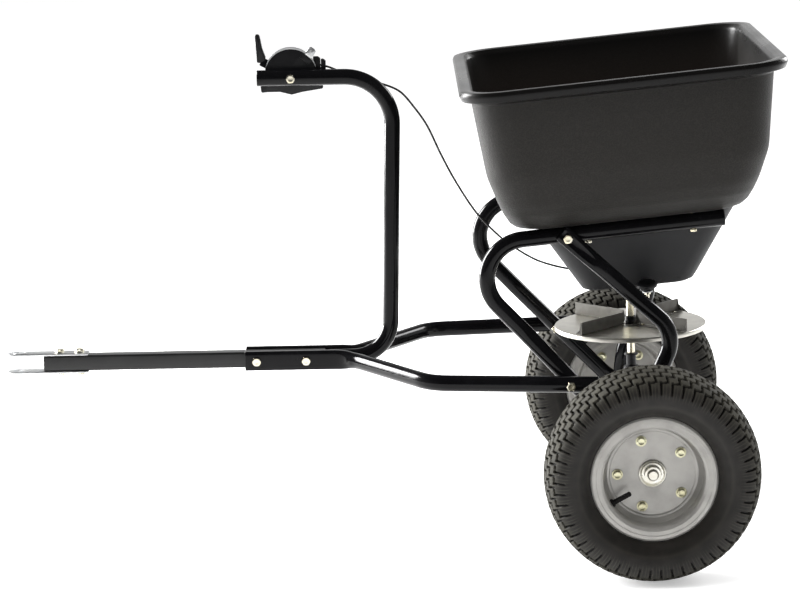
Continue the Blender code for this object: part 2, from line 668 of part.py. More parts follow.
def build_gate(machine):
    """Flow gate under the base, the guide it slides in and its cable guide."""
    frame = machine.hopper_frame
    top = BASE_FLOOR - GAP
    low = top - GATE_T
    shaft_u = shaft_offset(low)
    rest = -GATE_TRAVEL
    plate = rectangle(rest - 24 * MM, rest + 56 * MM, -55 * MM, 55 * MM)
    machine.piece("flow_gate", slab(plate, low, top), "galvanised", parent=frame)
    arm = slab(rectangle(KNOB_U - 8 * MM, KNOB_U + 8 * MM, KNOB_V - 9 * MM, -50 * MM), low, top)
    machine.join("flow_gate", "gate_knob_arm", arm, parent=frame)
    lug = slab(rectangle(rest + 34 * MM, rest + 44 * MM, 50 * MM, WIRE_V + 5 * MM), low, top)
    machine.join("flow_gate", "gate_wire_lug", lug, parent=frame)
    wire = rectangle(rest - 17 * MM, rest + 36 * MM, -0.8 * MM, 0.8 * MM)
    wire = slab(wire, low + 0.2 * MM, top - 0.2 * MM)
    machine.join("flow_gate", "gate_wire", wire, (0, WIRE_V, 0), frame)
    slot = arc(8 * MM, 90, 270, 6, (rest, 0)) + arc(8 * MM, -90, 90, 6)
    machine.cut("flow_gate", "gate_slot", slab(slot, low - 0.01, top + 0.01), (shaft_u, 0, 0), frame)
    port = slab(rectangle(-PORT_HALF, PORT_HALF, -PORT_HALF, PORT_HALF), low - 0.01, low + 0.01)
    for name, v in (("gate_port_left", -PORT_V), ("gate_port_right", PORT_V)):
        machine.cut("flow_gate", name, port, (PORT_U + rest, v, 0), frame)
    knob = [
        (6 * MM, top + GAP), (6 * MM, top + 3 * MM), (15.5 * MM, top + 3 * MM), (16.5 * MM, top + 7 * MM),
        (13.5 * MM, top + 14 * MM), (6 * MM, top + 18 * MM),
    ]
    machine.piece("gate_knob", lathe_z(knob, 16, False), "black_plastic", (KNOB_U, KNOB_V, 0), frame)
    under = low - GAP
    channel = [
        (-62 * MM, top), (-62 * MM, under - 2 * MM), (64 * MM, under - 2 * MM), (64 * MM, top),
        (61 * MM, top), (61 * MM, under), (-59 * MM, under), (-59 * MM, top),
    ]
    machine.piece("gate_guide", slab_y(channel, -60 * MM, 60 * MM), "galvanised", parent=frame)
    hole = lathe_z([(8 * MM, under - 0.01), (8 * MM, under + 0.01)], 16, False)
    machine.cut("gate_guide", "guide_shaft_hole", hole, (shaft_offset(under), 0, 0), frame)
    for name, v in (("guide_port_left", -PORT_V), ("guide_port_right", PORT_V)):
        machine.cut("gate_guide", name, port, (PORT_U, v, 0), frame)
    middle = (top + low) / 2
    rings = [[(u, WIRE_V + y, middle + z) for y, z in circle(r, 10)]
             for u, r in ((-54 * MM, 4 * MM), (-4 * MM, 4 * MM), (-4 * MM, 1.6 * MM), (-54 * MM, 1.6 * MM))]
    machine.piece("cable_guide", skin(rings, True), "galvanised", parent=frame)
    bracket = slab(rectangle(-38 * MM, -26 * MM, 62 * MM, WIRE_V - 2.6 * MM), low + 0.2 * MM, top)
    machine.join("cable_guide", "cable_guide_bracket", bracket, parent=frame)


def smooth(points, steps):
    """Smooth curve through points."""
    ends = [points[0] * 2 - points[1]] + points + [points[-1] * 2 - points[-2]]
    route = []
    for k in range(1, len(ends) - 2):
        a, b, c, d = ends[k - 1:k + 3]
        for j in range(steps):
            t = j / steps
            route.append(0.5 * (2 * b + (c - a) * t + (2 * a - 5 * b + 4 * c - d) * t ** 2
                                + (3 * b - a - 3 * c + d) * t ** 3))
    return route + [points[-1]]


def cable_points():
    """Route of the control cable, each point with its share (per mille) of the fall to the cable guide."""
    start_y = TUBE_R + QUADRANT_T + LEVER_T + 3 * GAP + CABLE_R
    start_z = ARM_TOP + DRUM_R + GAP + CABLE_R
    middle = BASE_FLOOR - GAP - GATE_T / 2
    ends = [Vector(hopper_point(u, WIRE_V, middle)) for u in (-70 * MM, -54 * MM - GAP)]
    free = [
        (-541, None, 0), (-520, None, 0), (-498, None, 0), (-470, 20, 4.2), (-436, 18, 32.4),
        (-402.7, 17, 83.1), (-372.2, 17, 127.4), (-349.2, 18, 202.3), (-328.7, 19, 289.7),
        (-308.5, 22, 415.6), (-284.2, 30, 550.9), (-250.5, 45, 704.2), (-211.1, 64, 827.6),
        (-185.8, 76, 886.2), (-149.4, 94, 952.4), (-104, 110, 997.5),
    ]
    points = []
    for x, y, fall in free:
        z = start_z + (ends[1].z - start_z) * fall / 1000
        points.append(Vector((x * MM, start_y if y is None else y * MM, z)))
    points += ends
    return smooth(points, 3)


def build_control(machine):
    """Quadrant, flow lever, flow stop and the cable down to the gate."""
    at = (PIVOT_X, 0, ARM_TOP)
    near = TUBE_R + GAP
    far = near + QUADRANT_T
    top = arc(QUADRANT_R, 0, 180, 14, (0, QUADRANT_RISE))
    belly = ((-49, -8), (-47.5, -25), (-18, -24), (0.6, -28.8), (18, -24.6), (51, -19.6), (50, -8))
    outline = top + [(x * MM, z * MM) for x, z in belly]
    machine.piece("control_quadrant", slab_y(outline, near, far), "black_plastic", at)
    low, high = STOP_ANGLE - STOP_SWEEP - 4, STOP_ANGLE + STOP_SWEEP + 4
    ring = arc(STOP_R + 2.6 * MM, low, high, 6) + arc(STOP_R - 2.6 * MM, high, low, 6)
    machine.cut("control_quadrant", "stop_slot", slab_y(ring, near - 0.005, far + 0.005), at)
    tab = arc(STOP_R + 18 * MM, STOP_ANGLE - 5, STOP_ANGLE + 5, 2)
    tab += arc(STOP_R - 4 * MM, STOP_ANGLE + 6, STOP_ANGLE - 6, 2)
    machine.piece("flow_stop", slab_y(tab, near - GAP - 3 * MM, near - GAP), "galvanised", at)
    turn = math.radians(STOP_ANGLE)
    stem = [
        (2 * MM, near - 2 * MM), (2 * MM, far + GAP), (3.6 * MM, far + GAP), (3.6 * MM, far + 2 * MM),
    ]
    where = (PIVOT_X + STOP_R * math.cos(turn), 0, ARM_TOP + STOP_R * math.sin(turn))
    machine.join("flow_stop", "stop_stem", lathe_y(stem, 10, False), where)
    build_lever(machine, at, far + GAP)
    seat = (PIVOT_X, -TUBE_R, ARM_TOP)
    grip = far + GAP + 6 * MM + TUBE_R + GAP
    machine.bolt("quadrant_bolt", seat, (0, -1, 0), grip, ["control_arm", "control_quadrant", "flow_lever"])
    block = rectangle(-509.5 * MM, -494.5 * MM, ARM_TOP + 10 * MM, ARM_TOP + 30 * MM)
    machine.piece("cable_clamp", slab_y(block, far + GAP, far + 9 * MM), "black_plastic")
    path = cable_points()
    passage = lathe_z([(CABLE_R + GAP, -0.02), (CABLE_R + GAP, 0.02)], 12, False)
    tool = machine.cutter("clamp_bore", passage, (-502 * MM, path[0].y, path[0].z))
    tool.rotation_euler = (0, math.pi / 2, 0)
    machine.combine("cable_clamp", tool, "DIFFERENCE")
    cable = bpy.data.curves.new("control_cable", "CURVE")
    cable.dimensions = "3D"
    cable.bevel_depth = CABLE_R
    cable.bevel_resolution = 2
    cable.use_fill_caps = True
    line = cable.splines.new("POLY")
    line.points.add(len(path) - 1)
    for k, point in enumerate(path):
        line.points[k].co = (*point, 1.0)
    cable.materials.append(material("control_cable", "cable_jacket"))
    made = bpy.data.objects.new("control_cable", cable)
    made.parent = machine.ground_frame
    machine.pieces.objects.link(made)


def build_lever(machine, at, near):
    """Lever arm with the drum that winds the cable's wire, and its hand grip."""
    turn = math.radians(LEVER_ANGLE)
    reach = 53 * MM
    along = Vector((math.cos(turn), math.sin(turn)))
    across = Vector((-along.y, along.x)) * 7 * MM
    root, end = along * 5 * MM, along * reach
    arm = [root - across, end - across, end + across, root + across]
    machine.piece("flow_lever", slab_y([tuple(p) for p in arm], near, near + LEVER_T), "black_paint", at)
    drum = lathe_y([(DRUM_R, near), (DRUM_R, near + 6 * MM)], 20, False)
    machine.join("flow_lever", "lever_drum", drum, at)
    tip = along * (reach + GAP)
    grip = [
        (tip.x + 6 * MM, tip.y - 2 * MM), (tip.x + 7 * MM, tip.y + 14 * MM),
        (tip.x + 1 * MM, tip.y + 40 * MM), (tip.x - 5 * MM, tip.y + 44 * MM),
        (tip.x - 9 * MM, tip.y + 40 * MM), (tip.x - 7 * MM, tip.y - 2 * MM),
    ]
    machine.piece("lever_grip", slab_y(grip, near, near + 8 * MM), "black_plastic", at)
    socket = [tuple(p) for p in (arm[0], arm[1] + along * 2 * MM, arm[2] + along * 2 * MM, arm[3])]
    machine.cut("lever_grip", "grip_socket", slab_y(socket, near - GAP, near + LEVER_T + GAP), at)


def rim_profile(side):
    """Section of one half rim: centre disc, dish, bead seat and flange."""
    y = [GAP / 2, 12 * MM, 30 * MM, FLANGE_Y - SHEET, FLANGE_Y]
    points = [
        (HUB_R + GAP, y[0]), (62 * MM, y[0]), (SEAT_R - SHEET, y[1]), (SEAT_R, y[1]),
        (SEAT_R, y[3]), (FLANGE_R, y[3]),
        (FLANGE_R, y[4]), (SEAT_R - SHEET, y[4]), (SEAT_R - 2 * SHEET, y[2]),
        (SEAT_R - 2 * SHEET - 1 * MM, y[1] + SHEET), (62 * MM - SHEET, y[0] + SHEET), (HUB_R + GAP, y[0] + SHEET),
    ]
    return [(radius, side * value) for radius, value in points]


def tyre_profile():
    """Section of the tyre, from the crown round each bead and back inside."""
    bead = FLANGE_Y - SHEET - GAP
    half = [
        (TYRE_R, 0.0), (TYRE_R - 2 * MM, 36 * MM), (TYRE_R - 14 * MM, 57 * MM),
        (TYRE_R - 37 * MM, TYRE_HALF), (FLANGE_R + 11.2 * MM, TYRE_HALF - 8 * MM),
        (FLANGE_R + 0.8 * MM, FLANGE_Y), (FLANGE_R + 0.8 * MM, bead),
        (SEAT_R + GAP, bead), (SEAT_R + GAP, 27 * MM), (FLANGE_R + 14.2 * MM, 45 * MM),
        (TYRE_R - 19 * MM, TYRE_HALF - 20 * MM),
    ]
    return half + [(radius, -y) for radius, y in half[:0:-1]]


def build_wheel(machine, word, side):
    """One wheel: two rim halves, tyre and hub, all turning on the axle's line."""
    at = (0, side * TRACK / 2, AXLE_Z)
    machine.piece(f"{word}_rim_outer", lathe_y(rim_profile(side), WHEEL_SIDES), "silver_paint", at)
    machine.piece(f"{word}_rim_inner", lathe_y(rim_profile(-side), WHEEL_SIDES), "silver_paint", at)
    machine.piece(f"{word}_tyre", lathe_y(tyre_profile(), WHEEL_SIDES), "tyre_rubber", at)
    face = GAP / 2 + SHEET + GAP
    hub = [
        (AXLE_R + GAP, -HUB_IN), (HUB_R, -HUB_IN), (HUB_R, face), (HUB_FLANGE_R, face),
        (HUB_FLANGE_R, face + 3 * MM), (12 * MM, face + 3 * MM), (12 * MM, HUB_OUT), (AXLE_R + GAP, HUB_OUT),
    ]
    hub = [(radius, side * y) for radius, y in hub]
    machine.piece(f"{word}_hub", lathe_y(hub, 16), "zinc", at)


def pin_along_x(radius, half):
    """Cross pin along X."""
    return skin([[(x, y, z) for y, z in circle(radius, 8)] for x in (-half, half)], False)


def build_running_gear(machine):
    """Axle, its two wheels, the cross pins and the ring gear."""
    rings = [[(x, y, z) for x, z in circle(AXLE_R, 20)] for y in (-AXLE_HALF, AXLE_HALF)]
    machine.piece("axle", skin(rings, False), "zinc", (0, 0, AXLE_Z))
    build_wheel(machine, "drive", -1)
    build_wheel(machine, "free", 1)
    where = (0, -(TRACK / 2 + HUB_OUT - 4 * MM), AXLE_Z)
    machine.piece("drive_pin", pin_along_x(2 * MM, 13.5 * MM), "steel", where)
    for target in ("axle", "drive_hub"):
        machine.cut(target, f"{target}_pin_hole", pin_along_x(2 * MM + GAP, 0.02), where)
    where = (0, AXLE_HALF - 2.6 * MM, AXLE_Z)
    machine.piece("free_wheel_pin", pin_along_x(1.6 * MM, 13 * MM), "steel", where)
    machine.cut("axle", "axle_cotter_hole", pin_along_x(1.6 * MM + GAP, 0.02), where)
    machine.piece("ring_gear", ring_gear_shape(), "steel", (0, 0, AXLE_Z))


def ring_gear_shape():
    """Face gear on the axle: teeth point at the pinion, a tooth gap at the top."""
    count = 2 * RING_TEETH
    turn = math.pi / 2 + math.atan2(-SHAFT_X, 26 * MM) + SHAFT_LEAN
    plan = [
        (AXLE_R + GAP, 24 * MM, 0), (AXLE_R + GAP, 11 * MM, 0), (22 * MM, 11 * MM, 1), (RING_R, 11 * MM, 1),
        (RING_R, 15 * MM, 0), (14 * MM, 15 * MM, 0), (14 * MM, 24 * MM, 0),
    ]
    rings = []
    for radius, y, toothed in plan:
        ring = []
        for k, (x, z) in enumerate(circle(radius, count, turn)):
            rise = 2.6 * MM if toothed and k % 2 else 0
            ring.append((x, y - rise, z))
        rings.append(ring)
    return skin(rings, True)


def pinion_shape():
    """Pinion on the shaft's foot, one tooth facing the ring gear."""
    count = 2 * PINION_TEETH
    rings = []
    for height, bore in ((20, 0), (33, 0), (33, 1), (20, 1)):
        ring = []
        for k, (x, y) in enumerate(circle(1.0, count, math.pi / 2)):
            radius = SPIGOT_R + GAP if bore else (PINION_R if k % 2 == 0 else PINION_R - 3 * MM)
            ring.append((x * radius, y * radius, height * MM))
        rings.append(ring)
    return skin(rings, True)


def build_impeller(machine):
    """Vertical shaft with pinion, spinning plate, vanes and agitator."""
    frame = machine.shaft_frame
    shaft_top = guide_level() + SHAFT_RISE
    shaft = [
        (SPIGOT_R, 14 * MM), (SPIGOT_R, 36 * MM), (SHAFT_R, 36 * MM), (SHAFT_R, shaft_top - 2 * MM),
        (SHAFT_R - 2 * MM, shaft_top),
    ]
    machine.piece("impeller_shaft", lathe_z(shaft, 16, False), "zinc", parent=frame)
    machine.piece("pinion", pinion_shape(), "steel", parent=frame)
    top = BUSH_TOP + IMPELLER_SHARE * (guide_level() - BUSH_TOP)
    plate = [
        (SHAFT_R + GAP, top), (IMPELLER_R - 2 * MM, top), (IMPELLER_R, top - 2 * MM),
        (IMPELLER_R, top - 7 * MM), (IMPELLER_R - 2 * MM, top - 7 * MM),
        (IMPELLER_R - 2 * MM, top - 2 * MM), (14 * MM, top - 2 * MM),
        (14 * MM, top - 12 * MM), (SHAFT_R + GAP, top - 12 * MM),
    ]
    machine.piece("impeller_plate", lathe_z(plate, 28), "steel", parent=frame)
    thick = 1.6 * MM
    section = [(0, 0), (0, VANE_TALL), (-thick, VANE_TALL), (-thick, thick), (-12 * MM, thick), (-12 * MM, 0)]
    for k in range(4):
        turn = math.radians(45 + 90 * k)
        rings = [[(r, y, z) for y, z in section] for r in (15 * MM, IMPELLER_R - 4 * MM)]
        vane = machine.piece(f"impeller_vane_{k + 1}", skin(rings, False), "steel", parent=frame)
        vane.location = (0, 0, top + GAP)
        vane.rotation_euler = (0, 0, turn)
    bar = pin_along_x(2.6 * MM, 45 * MM)
    where = (0, 0, shaft_top - 12 * MM)
    machine.piece("agitator", bar, "steel", where, frame)
    machine.cut("impeller_shaft", "agitator_hole", pin_along_x(2.6 * MM + GAP, 0.02), where, frame)
    bush = [
        (SHAFT_R + GAP, 50 * MM), (7.8 * MM, 50 * MM), (7.8 * MM, BUSH_TOP - 3 * MM),
        (11 * MM, BUSH_TOP - 3 * MM), (11 * MM, BUSH_TOP), (SHAFT_R + GAP, BUSH_TOP),
    ]
    machine.piece("shaft_bush", lathe_z(bush, 16), "black_plastic", parent=frame)


def build_gearbox(machine):
    """Two gearbox halves round the ring gear and pinion."""
    room = CASE_R - CASE_WALL
    neck = lathe_z([(12.5 * MM, 38 * MM), (12.5 * MM, 97 * MM)], 16, False)
    bore = lathe_z([(8.1 * MM, 30 * MM), (8.1 * MM, 0.12)], 16, False)
    for word, side, depth in (("left", -1, 20 * MM), ("right", 1, 30 * MM)):
        name = f"{word}_gearbox_half"
        near = side * GAP / 2
        case = lathe_y([(CASE_R, near), (CASE_R, side * depth)], 20, False)
        machine.piece(name, case, "black_plastic", (0, 0, AXLE_Z))
        machine.join(name, f"{word}_gearbox_neck", neck, parent=machine.shaft_frame)
        away = slab_y(rectangle(-0.06, 0.06, -0.06, 0.12), -side * 0.03 + near, near)
        machine.cut(name, f"{word}_gearbox_split", away, (0, 0, AXLE_Z))
        hollow = lathe_y([(room, -side * 0.01), (room, side * (depth - CASE_WALL))], 20, False)
        machine.cut(name, f"{word}_gearbox_room", hollow, (0, 0, AXLE_Z))
        machine.cut(name, f"{word}_gearbox_bore", bore, parent=machine.shaft_frame)
        axle_hole = lathe_y([(AXLE_R + GAP, -0.05), (AXLE_R + GAP, 0.05)], 20, False)
        machine.cut(name, f"{word}_gearbox_axle_hole", axle_hole, (0, 0, AXLE_Z))


def main():
    """Build every piece of the spreader."""
    clear_scene()
    machine = Spreader()
    build_hitch(machine)
    build_arm(machine)
    build_frame(machine)
    build_hopper(machine)
    build_gate(machine)
    build_control(machine)
    build_running_gear(machine)
    build_impeller(machine)
    build_gearbox(machine)


main()
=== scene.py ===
"""Looks of the tow-behind broadcast spreader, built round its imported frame.

Shapes are worked out in millimetres from the point of the ground below the axle,
+X to the rear, +Z up, and are set into the frame's place when a mesh is made.
"""

import logging
import math
from dataclasses import dataclass, field
from enum import Enum
from typing import Sequence

import bmesh
import bpy
import numpy as np
from mathutils import Matrix, Vector


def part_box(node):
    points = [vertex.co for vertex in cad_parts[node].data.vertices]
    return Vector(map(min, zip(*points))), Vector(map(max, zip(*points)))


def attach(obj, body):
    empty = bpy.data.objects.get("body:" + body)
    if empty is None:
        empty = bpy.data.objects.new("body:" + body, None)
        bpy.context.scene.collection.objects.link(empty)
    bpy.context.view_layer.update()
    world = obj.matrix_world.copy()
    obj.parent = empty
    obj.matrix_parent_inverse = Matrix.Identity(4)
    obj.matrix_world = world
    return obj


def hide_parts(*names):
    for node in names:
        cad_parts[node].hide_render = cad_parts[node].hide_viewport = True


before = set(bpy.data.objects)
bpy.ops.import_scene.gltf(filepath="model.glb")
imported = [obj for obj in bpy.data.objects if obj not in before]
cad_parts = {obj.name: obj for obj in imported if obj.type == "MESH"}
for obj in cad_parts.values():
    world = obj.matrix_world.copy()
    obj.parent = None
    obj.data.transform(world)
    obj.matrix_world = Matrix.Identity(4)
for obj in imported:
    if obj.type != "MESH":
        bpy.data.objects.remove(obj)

MM = 0.001
GAP = 0.3
TAU = 2 * math.pi
SMOOTH = math.radians(34)
LOG = logging.getLogger("spreader")
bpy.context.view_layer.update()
AXLE_X = sum(corner.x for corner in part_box("axle")) / 2 / MM
Colour = tuple[float, float, float]
Pair = tuple[float, float]


class Side(Enum):
    """The two sides of the machine, as signs of y."""

    LEFT = -1
    RIGHT = 1

    @property
    def word(self) -> str:
        """The side's word in the names of its pieces."""
        return self.name.lower()


class Slot(Enum):
    """Material slots of the record."""

    BLACK_PAINT = "black_paint"
    ZINC = "zinc"
    GALVANISED = "galvanised"
    HOPPER = "hopper_plastic"
    BLACK_PLASTIC = "black_plastic"
    RUBBER = "tyre_rubber"
    SILVER = "silver_paint"
    STEEL = "steel"
    NYLON = "nylon"
    CABLE = "cable_jacket"


# Shader maths


class Value:
    """One output of a node tree; arithmetic on it adds Math nodes."""

    def __init__(self, tree: "Nodes", socket: bpy.types.NodeSocket) -> None:
        """Keep the tree and the output socket."""
        self.tree = tree
        self.socket = socket

    def math(self, operation: str, *values: "Value | float") -> "Value":
        """Add a Math node.

        Args:
            operation: The node's operation.
            values: Its inputs in order.

        Returns:
            The node's result.
        """
        node = self.tree.node("ShaderNodeMath", {"operation": operation}, dict(enumerate(values)))
        return Value(self.tree, node.outputs[0])

    def __add__(self, other: "Value | float") -> "Value":
        """Sum."""
        return self.math("ADD", self, other)

    __radd__ = __add__

    def __sub__(self, other: "Value | float") -> "Value":
        """Difference."""
        return self.math("SUBTRACT", self, other)

    def __rsub__(self, other: float) -> "Value":
        """Difference with the number first."""
        return self.math("SUBTRACT", other, self)

    def __mul__(self, other: "Value | float") -> "Value":
        """Product."""
        return self.math("MULTIPLY", self, other)

    __rmul__ = __mul__

    def step(self, low: float, high: float) -> "Value":
        """Smooth rise from 0 at low to 1 at high."""
        inputs = {"Value": self, "From Min": low, "From Max": high, "To Min": 0.0, "To Max": 1.0}
        settings = {"interpolation_type": "SMOOTHSTEP", "clamp": True}
        return Value(self.tree, self.tree.node("ShaderNodeMapRange", settings, inputs).outputs[0])


class Nodes:
    """A node tree that is filled by methods."""

    def __init__(self, tree: bpy.types.NodeTree) -> None:
        """Keep the tree."""
        self.tree = tree

    def node(self, kind: str, settings: dict, inputs: dict) -> bpy.types.Node:
        """Add any node.

        Args:
            kind: The node's type.
            settings: Its properties, set first.
            inputs: Its sockets by name or number, each a number, a colour or a Value.

        Returns:
            The new node.
        """
        made = self.tree.nodes.new(kind)
        for key, value in settings.items():
            setattr(made, key, value)
        for key, value in inputs.items():
            self.feed(made.inputs[key], value)
        return made

    def feed(self, socket: bpy.types.NodeSocket, value: object) -> None:
        """Link a Value to a socket, or set the socket's number or colour."""
        if isinstance(value, Value):
            self.tree.links.new(value.socket, socket)
        elif isinstance(value, tuple):
            socket.default_value = value if len(socket.default_value) == len(value) else (*value, 1.0)
        else:
            socket.default_value = value

    def place(self) -> Value:
        """The point of the surface in the frame, in metres."""
        return Value(self, self.node("ShaderNodeTexCoord", {}, {}).outputs["Object"])

    def split(self, place: Value) -> tuple[Value, Value, Value]:
        """X, y and z of a point."""
        made = self.node("ShaderNodeSeparateXYZ", {}, {0: place})
        return tuple(Value(self, output) for output in made.outputs)

    def noise(self, place: Value, scale: float, detail: float = 2.0) -> Value:
        """Cloudy pattern from 0 to 1, scale features to the metre."""
        made = self.node("ShaderNodeTexNoise", {}, {"Vector": place, "Scale": scale, "Detail": detail})
        return Value(self, made.outputs[0])

    def cells(self, place: Value, scale: float) -> Value:
        """Distance to the nearest cell centre, scale cells to the metre."""
        made = self.node("ShaderNodeTexVoronoi", {}, {"Vector": place, "Scale": scale})
        return Value(self, made.outputs["Distance"])

    def attribute(self, name: str) -> Value:
        """A number kept on the mesh's points."""
        made = self.node("ShaderNodeAttribute", {"attribute_name": name}, {})
        return Value(self, made.outputs["Fac"])

    def blend(self, share: Value, low: object, high: object) -> Value:
        """Mix two colours, low where share is 0."""
        made = self.node("ShaderNodeMix", {"data_type": "RGBA"}, {"Factor": share})
        self.feed(made.inputs[6], low)
        self.feed(made.inputs[7], high)
        return Value(self, made.outputs[2])

    def bump(self, height: Value, strength: float, distance: float) -> Value:
        """Normal pushed about by a height."""
        inputs = {"Height": height, "Strength": strength, "Distance": distance}
        return Value(self, self.node("ShaderNodeBump", {}, inputs).outputs[0])


class Paint(Nodes):
    """A material's node tree round one Principled shader."""

    def __init__(self, name: str) -> None:
        """Make the material and find its shader."""
        self.material = bpy.data.materials.new(name)
        self.material.use_nodes = True
        super().__init__(self.material.node_tree)
        self.shader = self.tree.nodes["Principled BSDF"]

    def dress(self, **sockets: object) -> bpy.types.Material:
        """Feed the shader; an underscore in a name stands for a space.

        Args:
            sockets: Values, numbers or colours by socket name.

        Returns:
            The finished material.
        """
        for key, value in sockets.items():
            self.feed(self.shader.inputs[key.replace("_", " ")], value)
        return self.material


def shade(colour: Colour, factor: float) -> Colour:
    """The colour made lighter or darker by a factor."""
    return tuple(c * factor for c in colour)


@dataclass(frozen=True)
class GlossPaint:
    """Black powder coat: glossy, with faint orange peel and dulled patches."""

    colour: Colour = (0.0026, 0.0026, 0.0030)
    rough: float = 0.11
    level: float = 0.16

    def build(self, name: str) -> bpy.types.Material:
        """Make the material."""
        nodes = Paint(name)
        place = nodes.place()
        haze = nodes.noise(place, 22, 4).step(0.35, 0.75)
        height = nodes.noise(place, 240, 2) * 0.7 + nodes.noise(place, 1600, 2) * 0.3
        tone = nodes.blend(haze, self.colour, shade(self.colour, 1.7))
        return nodes.dress(
            Base_Color=tone, Roughness=haze * 0.09 + self.rough, Normal=nodes.bump(height, 0.07, 0.0004),
            Specular_IOR_Level=self.level,
        )


@dataclass(frozen=True)
class Metal:
    """Bare, zinc-plated or galvanised metal with cloudy tone and fine scratches."""

    colour: Colour
    tint: Colour
    rough: float
    spangle: float = 0.0
    grain: float = 0.05
    brushed: float = 0.10
    metallic: float = 1.0

    def build(self, name: str) -> bpy.types.Material:
        """Make the material."""
        nodes = Paint(name)
        place = nodes.place()
        cloud = nodes.noise(place, 60, 4).step(0.3, 0.72)
        brush = nodes.noise(place, 1500, 3)
        flake = nodes.cells(place, 260).step(0.1, 0.9)
        tone = nodes.blend(cloud, self.colour, self.tint)
        rough = (cloud + brush) * self.brushed + flake * self.spangle + (self.rough - self.brushed)
        return nodes.dress(Base_Color=tone, Metallic=self.metallic, Roughness=rough,
                           Normal=nodes.bump(brush, self.grain, 0.0002))


@dataclass(frozen=True)
class SatinSilver:
    """Silver wheel paint with fine flake."""

    colour: Colour = (0.355, 0.345, 0.325)

    def build(self, name: str) -> bpy.types.Material:
        """Make the material."""
        nodes = Paint(name)
        place = nodes.place()
        cloud = nodes.noise(place, 35, 4).step(0.3, 0.75)
        flake = nodes.noise(place, 2600, 2)
        tone = nodes.blend(cloud, self.colour, shade(self.colour, 0.82))
        height = flake * 0.5 + nodes.noise(place, 300, 2) * 0.5
        return nodes.dress(
            Base_Color=tone, Metallic=0.45, Roughness=cloud * 0.07 + flake * 0.08 + 0.28,
            Normal=nodes.bump(height, 0.08, 0.0003),
        )


@dataclass(frozen=True)
class HopperPlastic:
    """Charcoal moulding: pebbled body, smoother lip and brown-black inside."""

    body: Colour = (0.0125, 0.0117, 0.0105)
    lip: Colour = (0.0035, 0.0032, 0.0030)
    inside: Colour = (0.0075, 0.0048, 0.0034)

    def build(self, name: str) -> bpy.types.Material:
        """Make the material; the mesh's 'lip' and 'inside' numbers pick the zone."""
        nodes = Paint(name)
        place = nodes.place()
        lip = nodes.attribute("lip")
        inside = nodes.attribute("inside")
        pebble = nodes.cells(place, 480)
        fine = nodes.noise(place, 1500, 3)
        cloud = nodes.noise(place, 9, 4).step(0.3, 0.7)
        body = nodes.blend(cloud, self.body, shade(self.body, 1.22))
        body = nodes.blend((fine * 0.5 + pebble * 0.5).step(0.25, 0.7), body, shade(self.body, 1.9))
        inner = nodes.blend(cloud, self.inside, shade(self.inside, 1.5))
        tone = nodes.blend(inside, nodes.blend(lip, body, self.lip), inner)
        smooth = lip.math("MAXIMUM", lip, inside)
        height = (pebble * 0.65 + fine * 0.35) * (1 - smooth * 0.9)
        rough = 0.50 - smooth * 0.24 + cloud * 0.06
        return nodes.dress(Base_Color=tone, Roughness=rough, Normal=nodes.bump(height, 0.6, 0.0008),
                           Specular_IOR_Level=0.15, Sheen_Weight=0.05, Sheen_Roughness=0.4)


@dataclass(frozen=True)
class MouldedPlastic:
    """Plain moulded plastic with a fine grain."""

    colour: Colour
    rough: float = 0.42
    grain: float = 0.25
    level: float = 0.25

    def build(self, name: str) -> bpy.types.Material:
        """Make the material."""
        nodes = Paint(name)
        place = nodes.place()
        cloud = nodes.noise(place, 30, 4).step(0.3, 0.72)
        fine = nodes.noise(place, 1300, 3)
        tone = nodes.blend(cloud, self.colour, shade(self.colour, 1.35))
        return nodes.dress(
            Base_Color=tone, Roughness=cloud * 0.08 + self.rough, Normal=nodes.bump(fine, self.grain, 0.0004),
            Specular_IOR_Level=self.level,
        )


@dataclass(frozen=True)
class TreadRubber:
    """Tyre rubber: dusty block tops, grooves darkened with painted shade, smoother brown-black wall."""

    top: Colour = (0.046, 0.043, 0.033)
    wall: Colour = (0.0095, 0.0083, 0.0070)
    # groove: darker than the bare rubber of the wall, a painted shade in the grooves
    groove: Colour = (0.0045, 0.0040, 0.0035)

    def build(self, name: str) -> bpy.types.Material:
        """Make the material; 'tread' is 1 on block tops, 'wall' on the side wall, and a third mark puts a
        painted highlight on thin ribs.
        """
        nodes = Paint(name)
        place = nodes.place()
        tread, wall, rib = (nodes.attribute(name) for name in ("tread", "wall", "rib"))
        dust = nodes.noise(place, 45, 5).step(0.3, 0.75)
        fine = nodes.noise(place, 900, 3)
        top = nodes.blend(dust, self.top, shade(self.top, 0.62))
        side = nodes.blend(dust, self.wall, shade(self.wall, 1.5))
        # the grooves take the groove colour: painted shade
        tone = nodes.blend(tread, self.groove, nodes.blend(wall, top, side))
        # thin ribs and the wall's rings lightened toward the top colour: a painted highlight
        tone = nodes.blend(rib * 0.6, tone, self.top)
        rough = 0.82 - wall * 0.24 - dust * 0.06
        return nodes.dress(Base_Color=tone, Roughness=rough, Normal=nodes.bump(fine, 0.3, 0.0005),
                           Specular_IOR_Level=0.30)


@dataclass(frozen=True)
class Finishes:
    """The finishes of the machine by record slot, each material made once."""

    made: dict = field(default_factory=dict)

    def get(self, slot: Slot, variant: str = "") -> bpy.types.Material:
        """Material of a slot.

        Args:
            slot: The record's slot.
            variant: A second finish within the slot, such as "satin".

        Returns:
            The material, made at its first use.
        """
        key = slot.value + ("_" + variant if variant else "")
        if key not in self.made:
            self.made[key] = FINISH_TABLE[key].build(key)
        return self.made[key]


